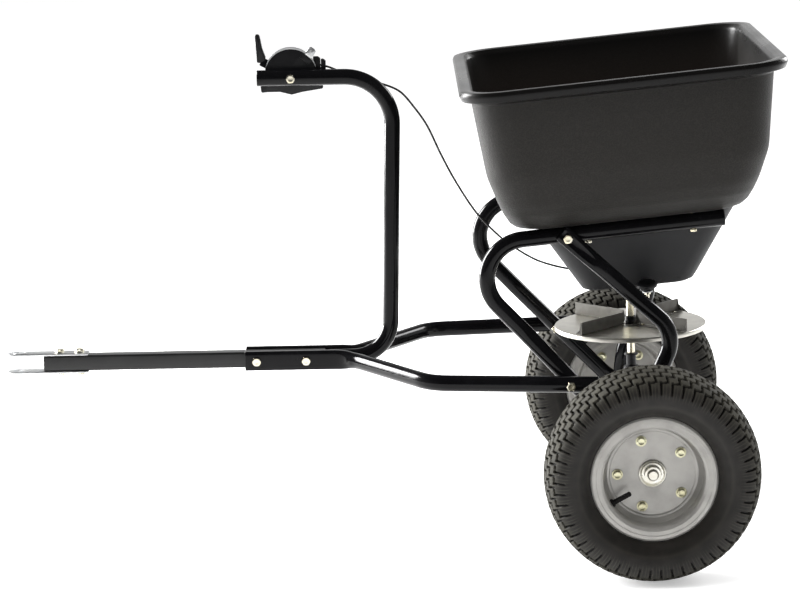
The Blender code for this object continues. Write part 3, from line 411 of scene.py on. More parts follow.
FINISH_TABLE = {
    "black_paint": GlossPaint(),
    "black_paint_satin": GlossPaint((0.0075, 0.0075, 0.0075), 0.30, 0.4),
    "zinc": Metal((0.74, 0.71, 0.60), (0.80, 0.73, 0.52), 0.22),
    "zinc_yellow": Metal((0.56, 0.55, 0.39), (0.50, 0.47, 0.31), 0.32),
    "zinc_axle": Metal((0.68, 0.67, 0.62), (0.60, 0.58, 0.50), 0.30),
    "galvanised": Metal((0.58, 0.585, 0.585), (0.48, 0.49, 0.50), 0.36, spangle=0.10),
    "hopper_plastic": HopperPlastic(),
    "black_plastic": MouldedPlastic((0.0045, 0.0045, 0.0052), 0.36, 0.12),
    "black_plastic_funnel": MouldedPlastic((0.0120, 0.0120, 0.0130), 0.50, 0.30, 0.25),
    "tyre_rubber": TreadRubber(),
    "silver_paint": SatinSilver(),
    "steel": Metal((0.70, 0.69, 0.66), (0.62, 0.61, 0.58), 0.26),
    "steel_satin": Metal((0.66, 0.64, 0.58), (0.60, 0.58, 0.53), 0.34, grain=0.01, brushed=0.02),
    # steel_vane: a much darker copy of the steel for the vanes, painted shade and painted dark reflection
    "steel_vane": Metal((0.16, 0.154, 0.14), (0.125, 0.12, 0.108), 0.40, grain=0.01, brushed=0.02,
                        metallic=0.6),
    "nylon": MouldedPlastic((0.55, 0.53, 0.47), 0.45, 0.1, 0.5),
    "cable_jacket": MouldedPlastic((0.0045, 0.0045, 0.0045), 0.28, 0.03, 0.4),
}
FINISHES = Finishes()


# Shapes


def fillet(points: Sequence, radii: Sequence[float] | float, steps: int = 6, closed: bool = False,
           share: float = 0.47) -> np.ndarray:
    """Round the corners of a polyline in any number of dimensions.

    Each corner becomes an arc whose radius is cut down where its edges are short:
    centre + (start sin((1-t)a) + end sin(ta)) / sin a for t from 0 to 1.

    Args:
        points: Corners, one row each.
        radii: One radius for all corners, or one for each.
        steps: Spans in each arc.
        closed: Whether the last corner joins the first.
        share: Largest part of an edge that one corner may use.

    Returns:
        The rounded polyline.
    """
    corners = np.asarray(points, float)
    count = len(corners)
    sizes = np.full(count, radii, float) if np.isscalar(radii) else np.asarray(radii, float)
    out = []
    for k in range(count):
        here = corners[k]
        if sizes[k] <= 0 or (not closed and k in (0, count - 1)):
            out.append(here)
            continue
        back, ahead = corners[k - 1] - here, corners[(k + 1) % count] - here
        lengths = np.linalg.norm(back), np.linalg.norm(ahead)
        back, ahead = back / lengths[0], ahead / lengths[1]
        half = math.acos(np.clip(back @ ahead, -1, 1)) / 2
        if half > math.pi / 2 - 0.01:
            out.append(here)
            continue
        reach = min(sizes[k] / math.tan(half), share * min(lengths))
        radius = reach * math.tan(half)
        middle = back + ahead
        centre = here + middle / np.linalg.norm(middle) * radius / math.sin(half)
        start, end = here + back * reach - centre, here + ahead * reach - centre
        turn = math.pi - 2 * half
        t = np.linspace(0, 1, steps + 1)[:, None]
        out.extend(centre + (np.sin((1 - t) * turn) * start + np.sin(t * turn) * end) / math.sin(turn))
    return np.array(out)


def resample(path: np.ndarray, spacing: float, keep: Sequence[float] = ()) -> tuple[np.ndarray, np.ndarray]:
    """Spread points evenly along a path.

    Args:
        path: The path's points.
        spacing: Distance between new points.
        keep: Extra distances along the path that get a point of their own.

    Returns:
        The new points and their distances from the start.
    """
    runs = np.concatenate([[0], np.cumsum(np.linalg.norm(np.diff(path, axis=0), axis=1))])
    places = np.linspace(0, runs[-1], max(int(runs[-1] / spacing), 2) + 1)
    places = np.unique(np.concatenate([places, [k if k >= 0 else runs[-1] + k for k in keep]]))
    return np.stack([np.interp(places, runs, path[:, i]) for i in range(3)], 1), places


def hermite(points: Sequence, steps: int) -> np.ndarray:
    """Smooth curve through points (the Catmull-Rom cubic of each span).

    Args:
        points: The points, one row each.
        steps: Spans between two points.

    Returns:
        The curve's points.
    """
    given = np.asarray(points, float)
    ends = np.vstack([2 * given[0] - given[1], given, 2 * given[-1] - given[-2]])
    a, b, c, d = ends[:-3, None], ends[1:-2, None], ends[2:-1, None], ends[3:, None]
    t = np.linspace(0, 1, steps, endpoint=False)[None, :, None]
    curve = 0.5 * (2 * b + (c - a) * t + (2 * a - 5 * b + 4 * c - d) * t**2 + (3 * b - a - 3 * c + d) * t**3)
    return np.vstack([curve.reshape(-1, given.shape[1]), given[-1]])


def smoothstep(low: float, high: float, value: np.ndarray) -> np.ndarray:
    """Smooth rise from 0 at low to 1 at high."""
    t = np.clip((value - low) / (high - low), 0, 1)
    return t * t * (3 - 2 * t)


def ring(radius: float, count: int, start: float = 0.0, end: float = TAU) -> np.ndarray:
    """Points of an arc, without its end."""
    angle = np.linspace(start, end, count, endpoint=False)
    return np.stack([np.cos(angle), np.sin(angle)], 1) * radius


def level_rows(angle: np.ndarray, levels: Sequence) -> np.ndarray:
    """Rows of points round z, one for each (height, radius); the radius may vary with the angle."""
    return np.array([np.stack([r * np.cos(angle), r * np.sin(angle), np.full(len(angle), h)], 1)
                     for h, r in levels])


def bar(radius: float, half: float, chamfer: float = 0.4) -> list[Pair]:
    """Profile of a round bar with chamfered ends."""
    end = radius - chamfer
    return [(end, -half), (radius, chamfer - half), (radius, half - chamfer), (end, half)]


def facing(direction: Vector) -> Matrix:
    """Turn that carries +Z to a direction."""
    return Vector((0, 0, 1)).rotation_difference(direction).to_matrix().to_4x4()


def rounded_box(half_u: float, half_v: float, corner: float, steps: int = 12) -> np.ndarray:
    """Outline of a rectangle with round corners, with points along its sides.

    Args:
        half_u: Half length.
        half_v: Half width.
        corner: Corner radius.
        steps: Spans in each corner.

    Returns:
        The outline's points.
    """
    angle = np.linspace(0, math.pi / 2, steps + 1)
    arcs = []
    for k, (su, sv) in enumerate(((1, 1), (-1, 1), (-1, -1), (1, -1))):
        turned = angle + k * math.pi / 2
        arcs.append(np.stack([np.cos(turned), np.sin(turned)], 1) * corner
                    + [su * (half_u - corner), sv * (half_v - corner)])
    return np.vstack(arcs)


class Shell:
    """Points and faces of one piece, gathered grid by grid."""

    def __init__(self) -> None:
        """Start empty."""
        self.points: list[np.ndarray] = []
        self.faces: list[list[int]] = []
        self.marks: dict[str, np.ndarray] = {}
        self.count = 0

    def grid(self, rows: np.ndarray, loop: bool = False, caps: tuple[bool, bool] = (False, False),
             **marks: np.ndarray) -> "Shell":
        """Add a surface whose points stand on a grid, the last column joined to the first.

        Args:
            rows: Points, rows by columns by three.
            loop: Whether the last row joins the first.
            caps: Whether the first and the last row are closed with a fan.
            marks: Numbers kept on the points, one for each, by name, for a shell of one grid.

        Returns:
            This shell.
        """
        height, width = rows.shape[:2]
        index = self.count + np.arange(height * width).reshape(height, width)
        low = index if loop else index[:-1]
        high = np.roll(index, -1, 0) if loop else index[1:]
        quads = np.stack([low, np.roll(low, -1, 1), np.roll(high, -1, 1), high], -1)
        self.faces += quads.reshape(-1, 4).tolist()
        points = [rows.reshape(-1, 3)]
        extra = 0
        for wanted, row in ((caps[0], 0), (caps[1], -1)):
            if wanted:
                points.append(rows[row].mean(0)[None])
                centre = np.full(width, self.count + height * width + extra)
                fan = np.stack([index[row], np.roll(index[row], -1), centre], 1)
                self.faces += fan.tolist()
                extra += 1
        for name, values in marks.items():
            self.marks[name] = np.asarray(values, np.float32).reshape(-1)
        self.points.append(np.vstack(points))
        self.count += height * width + extra
        return self

    def turned(self, matrix: Matrix) -> "Shell":
        """Carry the whole shell to another place."""
        spin = np.array(matrix.to_3x3())
        self.points = [p @ spin.T + np.array(matrix.to_translation()) for p in self.points]
        return self

    def build(self, name: str) -> bpy.types.Object:
        """Make the mesh object, faces outwards, smooth but for its edges."""
        mesh = bpy.data.meshes.new(name)
        points = (np.vstack(self.points) + [AXLE_X, 0, 0]) * MM
        mesh.from_pydata(points.tolist(), [], self.faces)
        work = bmesh.new()
        work.from_mesh(mesh)
        bmesh.ops.recalc_face_normals(work, faces=work.faces)
        work.to_mesh(mesh)
        work.free()
        for key, values in self.marks.items():
            mesh.attributes.new(key, "FLOAT", "POINT").data.foreach_set("value", values)
        mesh.shade_smooth()
        mesh.set_sharp_from_angle(angle=SMOOTH)
        made = bpy.data.objects.new(name, mesh)
        bpy.context.scene.collection.objects.link(made)
        return made


def lathe(profile: np.ndarray, axis: int = 1, at: Sequence[float] = (0, 0, 0), count: int = 96,
          closed: bool = True, shell: Shell | None = None) -> Shell:
    """Turn a profile of (radius, distance along the axis) points round an axis.

    Args:
        profile: The profile's points.
        axis: 0, 1 or 2 for x, y or z.
        at: A point of the axis that the distances are counted from.
        count: Columns round the axis.
        closed: Whether the profile closes on itself; otherwise its ends are capped.
        shell: A shell to add to.

    Returns:
        The shell.
    """
    shell = shell or Shell()
    profile = np.asarray(profile, float)
    angle = np.linspace(0, TAU, count, endpoint=False)
    first, second = [(1, 2), (2, 0), (0, 1)][axis]
    rows = np.zeros((len(profile), count, 3))
    rows[..., first] = profile[:, :1] * np.cos(angle)
    rows[..., second] = profile[:, :1] * np.sin(angle)
    rows[..., axis] = profile[:, 1:]
    return shell.grid(rows + np.asarray(at, float), loop=closed, caps=(not closed, not closed))


def prism(outline: np.ndarray, low: float, high: float, axis: int = 2, edge: float = 0.4,
          shell: Shell | None = None) -> Shell:
    """Plate with an outline between two levels, its edges softened.

    Args:
        outline: Points in the plane across the axis, in (x, y), (x, z) or (y, z).
        low: One face.
        high: The other face.
        axis: The axis across the plate.
        edge: Width of the softened edge.
        shell: A shell to add to.

    Returns:
        The shell.
    """
    shell = shell or Shell()
    outline = np.asarray(outline, float)
    step = np.roll(outline, -1, 0) - np.roll(outline, 1, 0)
    out = np.stack([step[:, 1], -step[:, 0]], 1) / np.linalg.norm(step, axis=1)[:, None]
    area = np.sum(outline[:, 0] * np.roll(outline[:, 1], -1) - outline[:, 1] * np.roll(outline[:, 0], -1))
    out *= np.sign(area)
    planes = [a for a in range(3) if a != axis]
    rows = np.zeros((6, len(outline), 3))
    levels = ((low, edge), (low + edge * 0.3, edge * 0.3), (low + edge, 0), (high - edge, 0),
              (high - edge * 0.3, edge * 0.3), (high, edge))
    for k, (level, inset) in enumerate(levels):
        rows[k][:, planes] = outline - out * inset
        rows[k][:, axis] = level
    return shell.grid(rows, caps=(True, True))


def sweep(path: np.ndarray, across: Sequence[float], half_a: np.ndarray, half_b: np.ndarray,
          square: np.ndarray, wall: float, columns: int = 40, dent: np.ndarray | None = None) -> Shell:
    """Hollow tube along a path.

    The section at angle f is (sign(cos f)|cos f|^p a, sign(sin f)|sin f|^p b) with
    p = 1 - 0.6 squareness, and a dent draws the middle of its faces in.

    Args:
        path: Points of the middle line.
        across: Direction that stays across the tube.
        half_a: Half size along that direction at each point.
        half_b: Half size the other way.
        square: Squareness at each point, 0 for round.
        wall: Thickness of the tube's wall.
        columns: Points round the tube.
        dent: Depth of the dent in the flattened faces at each point.

    Returns:
        The shell.
    """
    tangent = np.gradient(path, axis=0)
    tangent /= np.linalg.norm(tangent, axis=1)[:, None]
    side = np.asarray(across, float) - tangent * (tangent @ np.asarray(across, float))[:, None]
    side /= np.linalg.norm(side, axis=1)[:, None]
    other = np.cross(tangent, side)
    angle = np.linspace(0, TAU, columns, endpoint=False) + math.pi / columns
    c, s = np.cos(angle)[None], np.sin(angle)[None]
    power = (1 - 0.6 * np.asarray(square))[:, None]
    unit_a = np.sign(c) * np.abs(c) ** power
    unit_b = np.sign(s) * np.abs(s) ** power
    soft = np.zeros(len(path))
    soft[[0, -1]] = 0.45
    hollow = np.zeros_like(unit_b) if dent is None else dent[:, None] * np.exp(-((unit_b / 0.42) ** 4))
    rows = []
    for take, order in ((soft, 1), (np.full(len(path), wall), -1)):
        a = (unit_a * (half_a - take)[:, None]) - np.sign(unit_a) * hollow * np.abs(unit_a)
        b = unit_b * (half_b - take)[:, None]
        rows.append((path[:, None] + side[:, None] * a[..., None] + other[:, None] * b[..., None])[::order])
    return Shell().grid(np.concatenate(rows), loop=True)


def piece(name: str, shell: Shell, slot: Slot, body: str = "chassis", variant: str = "",
          extra: bool = False) -> bpy.types.Object:
    """Finish one visible piece: mesh, material, body and the node that it stands for.

    Args:
        name: The piece's name.
        shell: Its shape.
        slot: The record's material slot.
        body: The body it rides on.
        variant: A second finish of the slot.
        extra: Whether it is a detail that stands for no node; otherwise it replaces the
            frame's node of its own name.

    Returns:
        The object.
    """
    made = shell.build(name)
    made.data.materials.append(FINISHES.get(slot, variant))
    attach(made, body)
    if not extra:
        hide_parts(name)
    LOG.info("%s: %d points", name, shell.count)
    return made


def pierce(target: bpy.types.Object, holes: Sequence[Shell]) -> None:
    """Cut holes through a piece and keep the result as its mesh.

    Args:
        target: The piece.
        holes: Closed shells to take away.
    """
    tools = [shell.build(f"{target.name}_hole_{k}") for k, shell in enumerate(holes)]
    for tool in tools:
        cut = target.modifiers.new(tool.name, "BOOLEAN")
        cut.object, cut.operation, cut.solver = tool, "DIFFERENCE", "EXACT"
    bpy.context.view_layer.update()
    graph = bpy.context.evaluated_depsgraph_get()
    mesh = bpy.data.meshes.new_from_object(target.evaluated_get(graph))
    mesh.name = target.name
    target.modifiers.clear()
    target.data = mesh
    mesh.set_sharp_from_angle(angle=SMOOTH)
    for tool in tools:
        bpy.data.objects.remove(tool)


@dataclass(frozen=True)
class Tilt:
    """A leaning frame of the machine: the hopper's or the impeller shaft's."""

    x: float
    z: float
    lean: float

    def matrix(self) -> Matrix:
        """Turn and shift from this frame to the machine's."""
        return Matrix.Translation((self.x, 0, self.z)) @ Matrix.Rotation(-self.lean, 4, "Y")

    def point(self, u: float, v: float, w: float) -> np.ndarray:
        """A point of this frame in the machine's."""
        return np.array(self.matrix() @ Vector((u, v, w)))


HOPPER_FRAME = Tilt(-35.8, 764.4, math.radians(5.3))
SHAFT_FRAME = Tilt(-4.5, 165.0, math.radians(1.2))


# Fasteners


def hexagon(corner: float, heights: Sequence[Pair], columns: int = 72) -> np.ndarray:
    """Rows of a hexagonal prism trimmed by a cone.

    The hexagon's radius at angle f is c cos30 / cos(f mod 60 - 30); each row takes
    the lesser of it and the row's own circle.

    Args:
        corner: Radius to the corners.
        heights: (height, circle radius) of each row.
        columns: Points round the axis.

    Returns:
        The rows.
    """
    angle = np.linspace(0, TAU, columns, endpoint=False)
    flat = corner * math.cos(math.pi / 6) / np.cos(angle % (math.pi / 3) - math.pi / 6)
    return level_rows(angle, [(z, np.minimum(flat, r)) for z, r in heights])


@dataclass
class Fastener:
    """Hex bolt with its nut, drawn the way the frame holds it."""

    name: str
    seat: Sequence[float]
    out: Sequence[float]
    grip: float
    size: float = 1.0
    shank: float = 4.0
    head: float = 7.5
    head_tall: float = 5.3
    nut_tall: float = 5.5

    def shell(self) -> Shell:
        """Head, shank and nut as closed shells, along +Z from the seat."""
        head, tall, end = self.head * self.size, self.head_tall * self.size, -self.grip - 2 * GAP
        nut = end - self.nut_tall * self.size
        shank = self.shank * self.size
        made = Shell()
        flat = head * math.cos(math.pi / 6)
        top = ((0, flat * 0.98), (0.5, head), (tall - 1.3, head), (tall - 0.4, flat * 1.02),
               (tall, flat * 0.84), (tall - 0.35, flat * 0.55))
        bottom = ((end, flat * 0.98), (end - 0.8, head), (nut + 0.8, head), (nut, flat * 0.98))
        for heights in (top, bottom):
            made.grid(hexagon(head, heights), caps=(True, True))
        lathe([(shank, 0.0), (shank, end)], 2, count=32, closed=False, shell=made)
        thread = [(shank - 0.25 * (k % 2), nut - 0.01 - 0.22 * k) for k in range(8)]
        lathe(thread + [(shank - 0.6, nut - 2.0)], 2, count=32, closed=False, shell=made)
        return made

    def place(self, tilt: Matrix | None = None) -> None:
        """Build the bolt at its seat, in a leaning frame if one is given."""
        start = Vector(self.seat) + Vector(self.out) * GAP
        matrix = (tilt or Matrix.Identity(4)) @ Matrix.Translation(start) @ facing(Vector(self.out))
        piece(self.name, self.shell().turned(matrix), Slot.ZINC)


# Tubes and frame


@dataclass
class Chassis:
    """Tongue, hitch plates, rails, loops, legs and their bolts and bushes."""

    tube: float = 12.7
    wall: float = 1.8
    axle_z: float = 165.0
    level: float = 285.0
    tongue: Pair = (-953.0, -500.0)
    hitch: Pair = (-1013.0, -881.0)
    hitch_half: float = 14.0
    plate: float = 3.0
    pin: Pair = (-990.5, 6.5)
    hitch_bolts: Pair = (-927.5, -895.6)
    tongue_bolts: Pair = (-609.7, -530.3)
    rail_front: float = -628.3
    rail_flat: Pair = (6.0, 15.7)
    rail_knee: tuple[float, float, float] = (-458.0, -332.0, 203.5)
    rail_rear: Pair = (-75.0, 236.3)
    top_rail_y: float = 190.0
    top_rail_w: float = -243.5
    top_rail_end: float = 136.0
    foot: Pair = (4.0, 17.0)
    crimp: Pair = (6.0, 13.5)
    leg_top: Pair = (-107.0, -246.0)

    def build(self) -> None:
        """Make and dress every piece of the chassis."""
        self.build_tongue()
        self.build_hitch()
        for side in Side:
            self.build_rail(side)
            self.build_loop(side)
            self.build_leg(side)
            self.build_bolts(side)
            self.build_bush(side)
        outside = self.tube + GAP + 2 * self.rail_flat[0]
        for name, x in zip(("tongue_bolt_front", "tongue_bolt_rear"), self.tongue_bolts):
            Fastener(name, (x, -outside, self.level), (0, -1, 0), 2 * outside).place()
        lift = self.tube + GAP + self.plate
        for name, x in zip(("hitch_bolt_front", "hitch_bolt_rear"), self.hitch_bolts):
            Fastener(name, (x, 0, self.level + lift), (0, 0, 1), 2 * lift).place()

    def build_tongue(self) -> None:
        """Square tube with rounded corners and open ends."""
        start, end = self.tongue
        rows = []
        for x, take, corner in ((start, 0.5, 2.6), (start + 0.5, 0, 3.0), (end - 0.5, 0, 3.0),
                                (end, 0.5, 2.6), (end, 2.0, 1.2), (start, 2.0, 1.2)):
            y, z = rounded_box(self.tube - take, self.tube - take, corner, 6).T
            rows.append(np.column_stack([np.full(len(y), x), y, z + self.level]))
        piece("hitch_tongue", Shell().grid(np.array(rows), loop=True), Slot.BLACK_PAINT, variant="satin")

    def build_hitch(self) -> None:
        """Two plates with round noses and the pin's hole."""
        tip, back = self.hitch
        half = self.hitch_half
        nose = ring(half, 25, math.pi / 2, math.pi * 1.52) + [tip + half, 0]
        tail = fillet([(tip + half + 1, -half), (back, -half), (back, half), (tip + half + 1, half)], 2.0, 4)
        outline = np.vstack([nose[:-1], tail])
        clear = self.tube + GAP
        for name, low in (("hitch_plate_top", clear), ("hitch_plate_bottom", -clear - self.plate)):
            low += self.level
            made = piece(name, prism(outline, low, low + self.plate, edge=0.6), Slot.GALVANISED)
            hole = lathe([(self.pin[1], -20), (self.pin[1], 20)], 2, (self.pin[0], 0, low), 40, False)
            pierce(made, [hole])
            face = (low + self.plate, 1) if low > self.level else (low, -1)
            self.build_seat(f"{name}_seat", *face)

    def build_seat(self, name: str, face: float, out: int) -> None:
        """Raised ring round the pin's hole, standing on a plate's outer face."""
        hole, wide = self.pin[1], 12.0
        profile = [(hole, -0.4), (wide, -0.4), (wide, 0.4), (wide - 0.4, 0.8), (hole + 0.4, 0.8), (hole, 0.4)]
        rows = np.array([(r, face + out * h) for r, h in profile])
        piece(name, lathe(rows, 2, (self.pin[0], 0, 0), 56), Slot.GALVANISED, extra=True)

    def build_rail(self, side: Side) -> None:
        """Lower rail, its section easing from flat to round where it leaves the tongue."""
        sign = side.value
        flat_y = self.tube + GAP + self.rail_flat[0]
        knee = self.rail_knee
        plan = ((self.rail_front, flat_y), (knee[0], flat_y), knee[1:], self.rail_rear)
        corners = [(x, sign * y, self.level) for x, y in plan]
        path, _ = resample(fillet(corners, 60, 16), 4.0, (0.45, -0.45))
        share = smoothstep(0, 1, (np.abs(path[:, 1]) - flat_y) / (2.2 * self.rail_flat[0]))
        tall = self.rail_flat[1] + (self.tube - self.rail_flat[1]) * share
        thick = self.rail_flat[0] + (self.tube - self.rail_flat[0]) * share
        shell = sweep(path, (0, 0, 1), tall, thick, 1 - share, self.wall)
        piece(f"{side.word}_lower_rail", shell, Slot.BLACK_PAINT)

    def build_loop(self, side: Side) -> None:
        """Top rail, round bend and diagonal, flattened at the axle."""
        sign, slope = side.value, 1.0477
        rear = HOPPER_FRAME.point(self.top_rail_end, sign * self.top_rail_y, self.top_rail_w)
        rise = math.tan(HOPPER_FRAME.lean)
        corner_x = (self.axle_z - rear[2] + rise * rear[0]) / (rise + slope)
        corner = (corner_x, sign * self.top_rail_y, rear[2] + rise * (corner_x - rear[0]))
        turn = np.array([corner_x + 130, sign * self.top_rail_y, self.axle_z - slope * (corner_x + 130)])
        foot = np.array([0, sign * 228.0, self.axle_z])
        foot += (foot - turn) / np.linalg.norm(foot - turn) * self.foot[1]
        bent = fillet([rear, corner, turn, foot], [0, 61.5, 150, 0], 24, share=0.88)
        path, runs = resample(bent, 4.0, (0.45, -0.45))
        flat = smoothstep(0, 1, 2 - (runs[-1] - runs) / 38)
        thin = self.tube + (self.foot[0] - self.tube) * flat
        wide = self.tube + (self.foot[1] - self.tube) * flat
        shell = sweep(path, (0, 1, 0), thin, wide, flat, self.wall)
        piece(f"{side.word}_frame_loop", shell, Slot.BLACK_PAINT)

    def build_leg(self, side: Side) -> None:
        """Leg with a crimped top end and a flattened foot."""
        sign = side.value
        top = HOPPER_FRAME.point(self.leg_top[0], 0, self.leg_top[1])
        knee, shin, foot = np.array([47.0, 0, 358]), np.array([-7.0, 0, 237]), np.array([0.0, 0, self.axle_z])
        top = top + (top - knee) / np.linalg.norm(top - knee) * 12
        foot = foot + (foot - shin) / np.linalg.norm(foot - shin) * self.foot[1]
        high, low = self.top_rail_y + self.tube + GAP + self.crimp[0], 210.0
        levels = (high, (high + low) / 2, low, low)
        corners = [(p[0], sign * y, p[2]) for p, y in zip((top, knee, shin, foot), levels)]
        path, runs = resample(fillet(corners, [0, 50, 80, 0], 24), 4.0, (0.45, -0.45))
        start = smoothstep(0, 1, 1.45 - runs / 62)
        end = smoothstep(0, 1, 2 - (runs[-1] - runs) / 45)
        thin = self.tube + (self.crimp[0] - self.tube) * start + (self.foot[0] - self.tube) * end
        wide = self.tube + (self.crimp[1] - self.tube) * start + (self.foot[1] - self.tube) * end
        groove = 3.2 * smoothstep(0, 1, 1.6 - runs / 56)
        shell = sweep(path, (0, 1, 0), thin, wide, np.maximum(0.35 * start, end), self.wall, 64, groove)
        piece(f"{side.word}_hopper_leg", shell, Slot.BLACK_PAINT)

    def build_bolts(self, side: Side) -> None:
        """Bolts of the rail's crossing, the leg's top and the hopper's floor."""
        sign, word = side.value, side.word
        knee, rear, crossing = self.rail_knee, self.rail_rear, -118.0
        share = (crossing - knee[1]) / (rear[0] - knee[1])
        rail_y = knee[2] + (rear[1] - knee[2]) * share
        seat = (crossing, sign * (rail_y + self.tube + 1.2), self.level)
        Fastener(f"{word}_rail_bolt", seat, (0, sign, 0), 4 * self.tube + 4.5).place()
        outside = self.top_rail_y + self.tube + GAP + 2 * self.crimp[0]
        seat = HOPPER_FRAME.point(self.leg_top[0], sign * outside, self.leg_top[1])
        Fastener(f"{word}_leg_bolt", seat, (0, sign, 0), outside - self.top_rail_y + self.tube).place()
        for place, u in (("front", -75.0), ("rear", 87.0)):
            seat = (u, sign * self.top_rail_y, self.top_rail_w - self.tube)
            bolt = Fastener(f"{word}_hopper_bolt_{place}", seat, (0, 0, -1), 2 * self.tube + GAP + 4, 0.75)
            bolt.place(HOPPER_FRAME.matrix())

    def build_bush(self, side: Side) -> None:
        """Shouldered nylon bush in the feet of loop and leg."""
        sign = side.value
        profile = [(8.3, 203), (11, 203), (11, 214.6), (15, 214.6), (15, 220.6), (11, 220.6), (11, 235),
                   (8.3, 235)]
        rounded = fillet([(r, sign * y) for r, y in profile], 0.5, 3, True)
        piece(f"{side.word}_axle_bush", lathe(rounded, 1, (0, 0, self.axle_z), 64), Slot.NYLON)


@dataclass
class ControlArm:
    """Upright arm with the quadrant, the flow lever, the stop and the cable's clamp."""

    tube: float = 12.7
    level: float = 285.0
    x: Pair = (-395.0, -383.2)
    top: float = 738.5
    end: float = -598.0
    bends: Pair = (60.0, 75.0)
    swage: tuple[float, float, float] = (-565.0, -498.0, 10.1)
    pivot: float = -544.5
    quadrant: Pair = (41.0, 6.0)
    thick: float = 3.0
    drum: float = 16.0
    lever: float = 152.0
    stop: tuple[float, float, float] = (50.0, 10.0, 38.0)
    cable: float = 1.7

    @property
    def near(self) -> float:
        """The y at which the quadrant starts."""
        return self.tube + GAP

    @property
    def far(self) -> float:
        """The y at which the quadrant ends."""
        return self.near + self.thick

    def build(self) -> None:
        """Make and dress the arm and what it carries."""
        self.build_arm()
        self.build_quadrant()
        self.build_lever()
        self.build_stop()
        self.build_clamp()
        grip = self.far + GAP + 6 + self.tube + GAP
        Fastener("quadrant_bolt", (self.pivot, -self.tube, self.top), (0, -1, 0), grip).place()

    def build_arm(self) -> None:
        """Bent tube, drawn in where it stands in the tongue."""
        corners = [(self.swage[0], 0, self.level), (self.x[0], 0, self.level), (self.x[1], 0, self.top),
                   (self.end, 0, self.top)]
        path, runs = resample(fillet(corners, [0, *self.bends, 0], 24), 4.0, (0.45, -0.45, 66.5, 73.5))
        share = smoothstep(0, 1, (runs - (self.swage[1] - self.swage[0])) / 6)
        radius = self.swage[2] + (self.tube - self.swage[2]) * share
        shell = sweep(path, (0, 1, 0), radius, radius, np.zeros(len(path)), 1.8)
        piece("control_arm", shell, Slot.BLACK_PAINT)

    def build_quadrant(self) -> None:
        """Guide plate with a round top and a rounded belly, a slot for the stop and a painted highlight on
        its top edge.

        The painted highlight is a bright metal crescent: at angle f its inner radius is the plate's less
        3.2 sin f, widest at the top, where the light falls.
        """
        radius, rise = self.quadrant
        arc = ring(radius, 60, 0, math.pi) + [0, rise]
        belly = fillet([(-41, rise), (-48.5, -6), (-49, -12), (-47.5, -25), (-38, -24), (-18, -24),
                        (0.6, -28.8), (18, -24.6), (51, -19.6), (50, -6), (41, rise)], 2.5, 4)
        outline = np.vstack([arc, belly[:-1]]) + [self.pivot, self.top]
        made = piece("control_quadrant", prism(outline, self.near, self.far, 1, 0.5), Slot.BLACK_PLASTIC)
        angle, sweep_angle, reach = self.stop
        low, high = math.radians(angle - sweep_angle - 4), math.radians(angle + sweep_angle + 4)
        slot = np.vstack([ring(reach + 2.6, 24, low, high), ring(reach - 2.6, 24, high, low)])
        pierce(made, [prism(slot + [self.pivot, self.top], self.near - 5, self.far + 5, 1, 0.1)])
        # painted highlight: a bright metal crescent over the plate's top edge
        t = np.radians(np.linspace(12, 168, 80))
        rim = ((3.2, -0.25), (0.0, -0.25), (-0.3, 0.3), (-0.3, 2.4), (0.0, 3.0), (0.6, 3.0))
        rows = np.array([np.column_stack([np.cos(t) * (radius - take * np.sin(t)) + self.pivot,
                                          np.full(len(t), self.near + depth),
                                          np.sin(t) * (radius - take * np.sin(t)) + self.top + rise])
                         for take, depth in rim])
        edge = Shell().grid(np.transpose(rows, (1, 0, 2)), caps=(True, True))
        piece("quadrant_highlight", edge, Slot.GALVANISED, extra=True)

    def build_lever(self) -> None:
        """Lever arm and drum in black, with a moulded paddle grip."""
        turn = math.radians(self.lever)
        along = np.array([math.cos(turn), math.sin(turn)])
        across = np.array([-along[1], along[0]]) * 7
        low, high = self.far + GAP, self.far + GAP + 2
        centre = np.array([self.pivot, self.top])
        arm = [along * 5 - across, along * 53 - across, along * 53 + across, along * 5 + across]
        arm = fillet(arm, 1.5, 4, True)
        shell = prism(arm + centre, low, high, 1, 0.4)
        rim = self.drum
        drum = [(4.5, 0), (rim, 0), (rim, 2), (rim - 2, 3), (rim, 4), (rim, 6), (4.5, 6)]
        drum = fillet(drum, 0.4, 3, True)
        lathe(drum, 1, (self.pivot, low, self.top), 72, shell=shell)
        piece("flow_lever", shell, Slot.BLACK_PAINT, "lever")
        grip = [(-53.6, 22.5), (-56, 64.5), (-54.8, 67.6), (-50, 67.6), (-48, 64.5), (-44.6, 46),
                (-39.6, 32), (-40, 25.5), (-45, 22)]
        outline = fillet(np.array(grip) + centre, 2.4, 5, True)
        piece("lever_grip", prism(outline, low - 0.1, low + 8, 1, 1.6), Slot.BLACK_PLASTIC, "lever")

    def build_stop(self) -> None:
        """Black slider over the slot, with its stem, and the bright thumb tab that it carries."""
        angle, sweep_angle, radius = self.stop
        turn = math.radians(angle)
        along = np.array([math.cos(turn), math.sin(turn)])
        across = np.array([-along[1], along[0]])
        near = self.near - GAP
        plan = np.array([(42.6, -6.4), (58, -6.4), (58, 6.4), (42.6, 6.4)])
        tab = fillet(plan[:, :1] * along + plan[:, 1:] * across, [1, 4, 4, 1], 6, True)
        shell = prism(tab + [self.pivot, self.top], near - 3, near, 1, 0.5)
        piece("flow_stop_tab", shell, Slot.GALVANISED, "stop", extra=True)
        reach = math.radians(sweep_angle + 5.4)
        low, high = turn - reach, turn + reach
        cover = np.vstack([ring(42.4, 24, low, high), ring(33.4, 24, high, low)])
        shell = prism(cover + [self.pivot, self.top], near - 2.4, near, 1, 0.4)
        spot = (self.pivot + radius * along[0], 0, self.top + radius * along[1])
        back = self.far + GAP
        stem = [(2, self.near - 2), (2, back), (3.6, back), (3.6, self.far + 1.6), (3, self.far + 2)]
        lathe(stem, 1, spot, 32, False, shell)
        piece("flow_stop", shell, Slot.BLACK_PLASTIC, "stop")

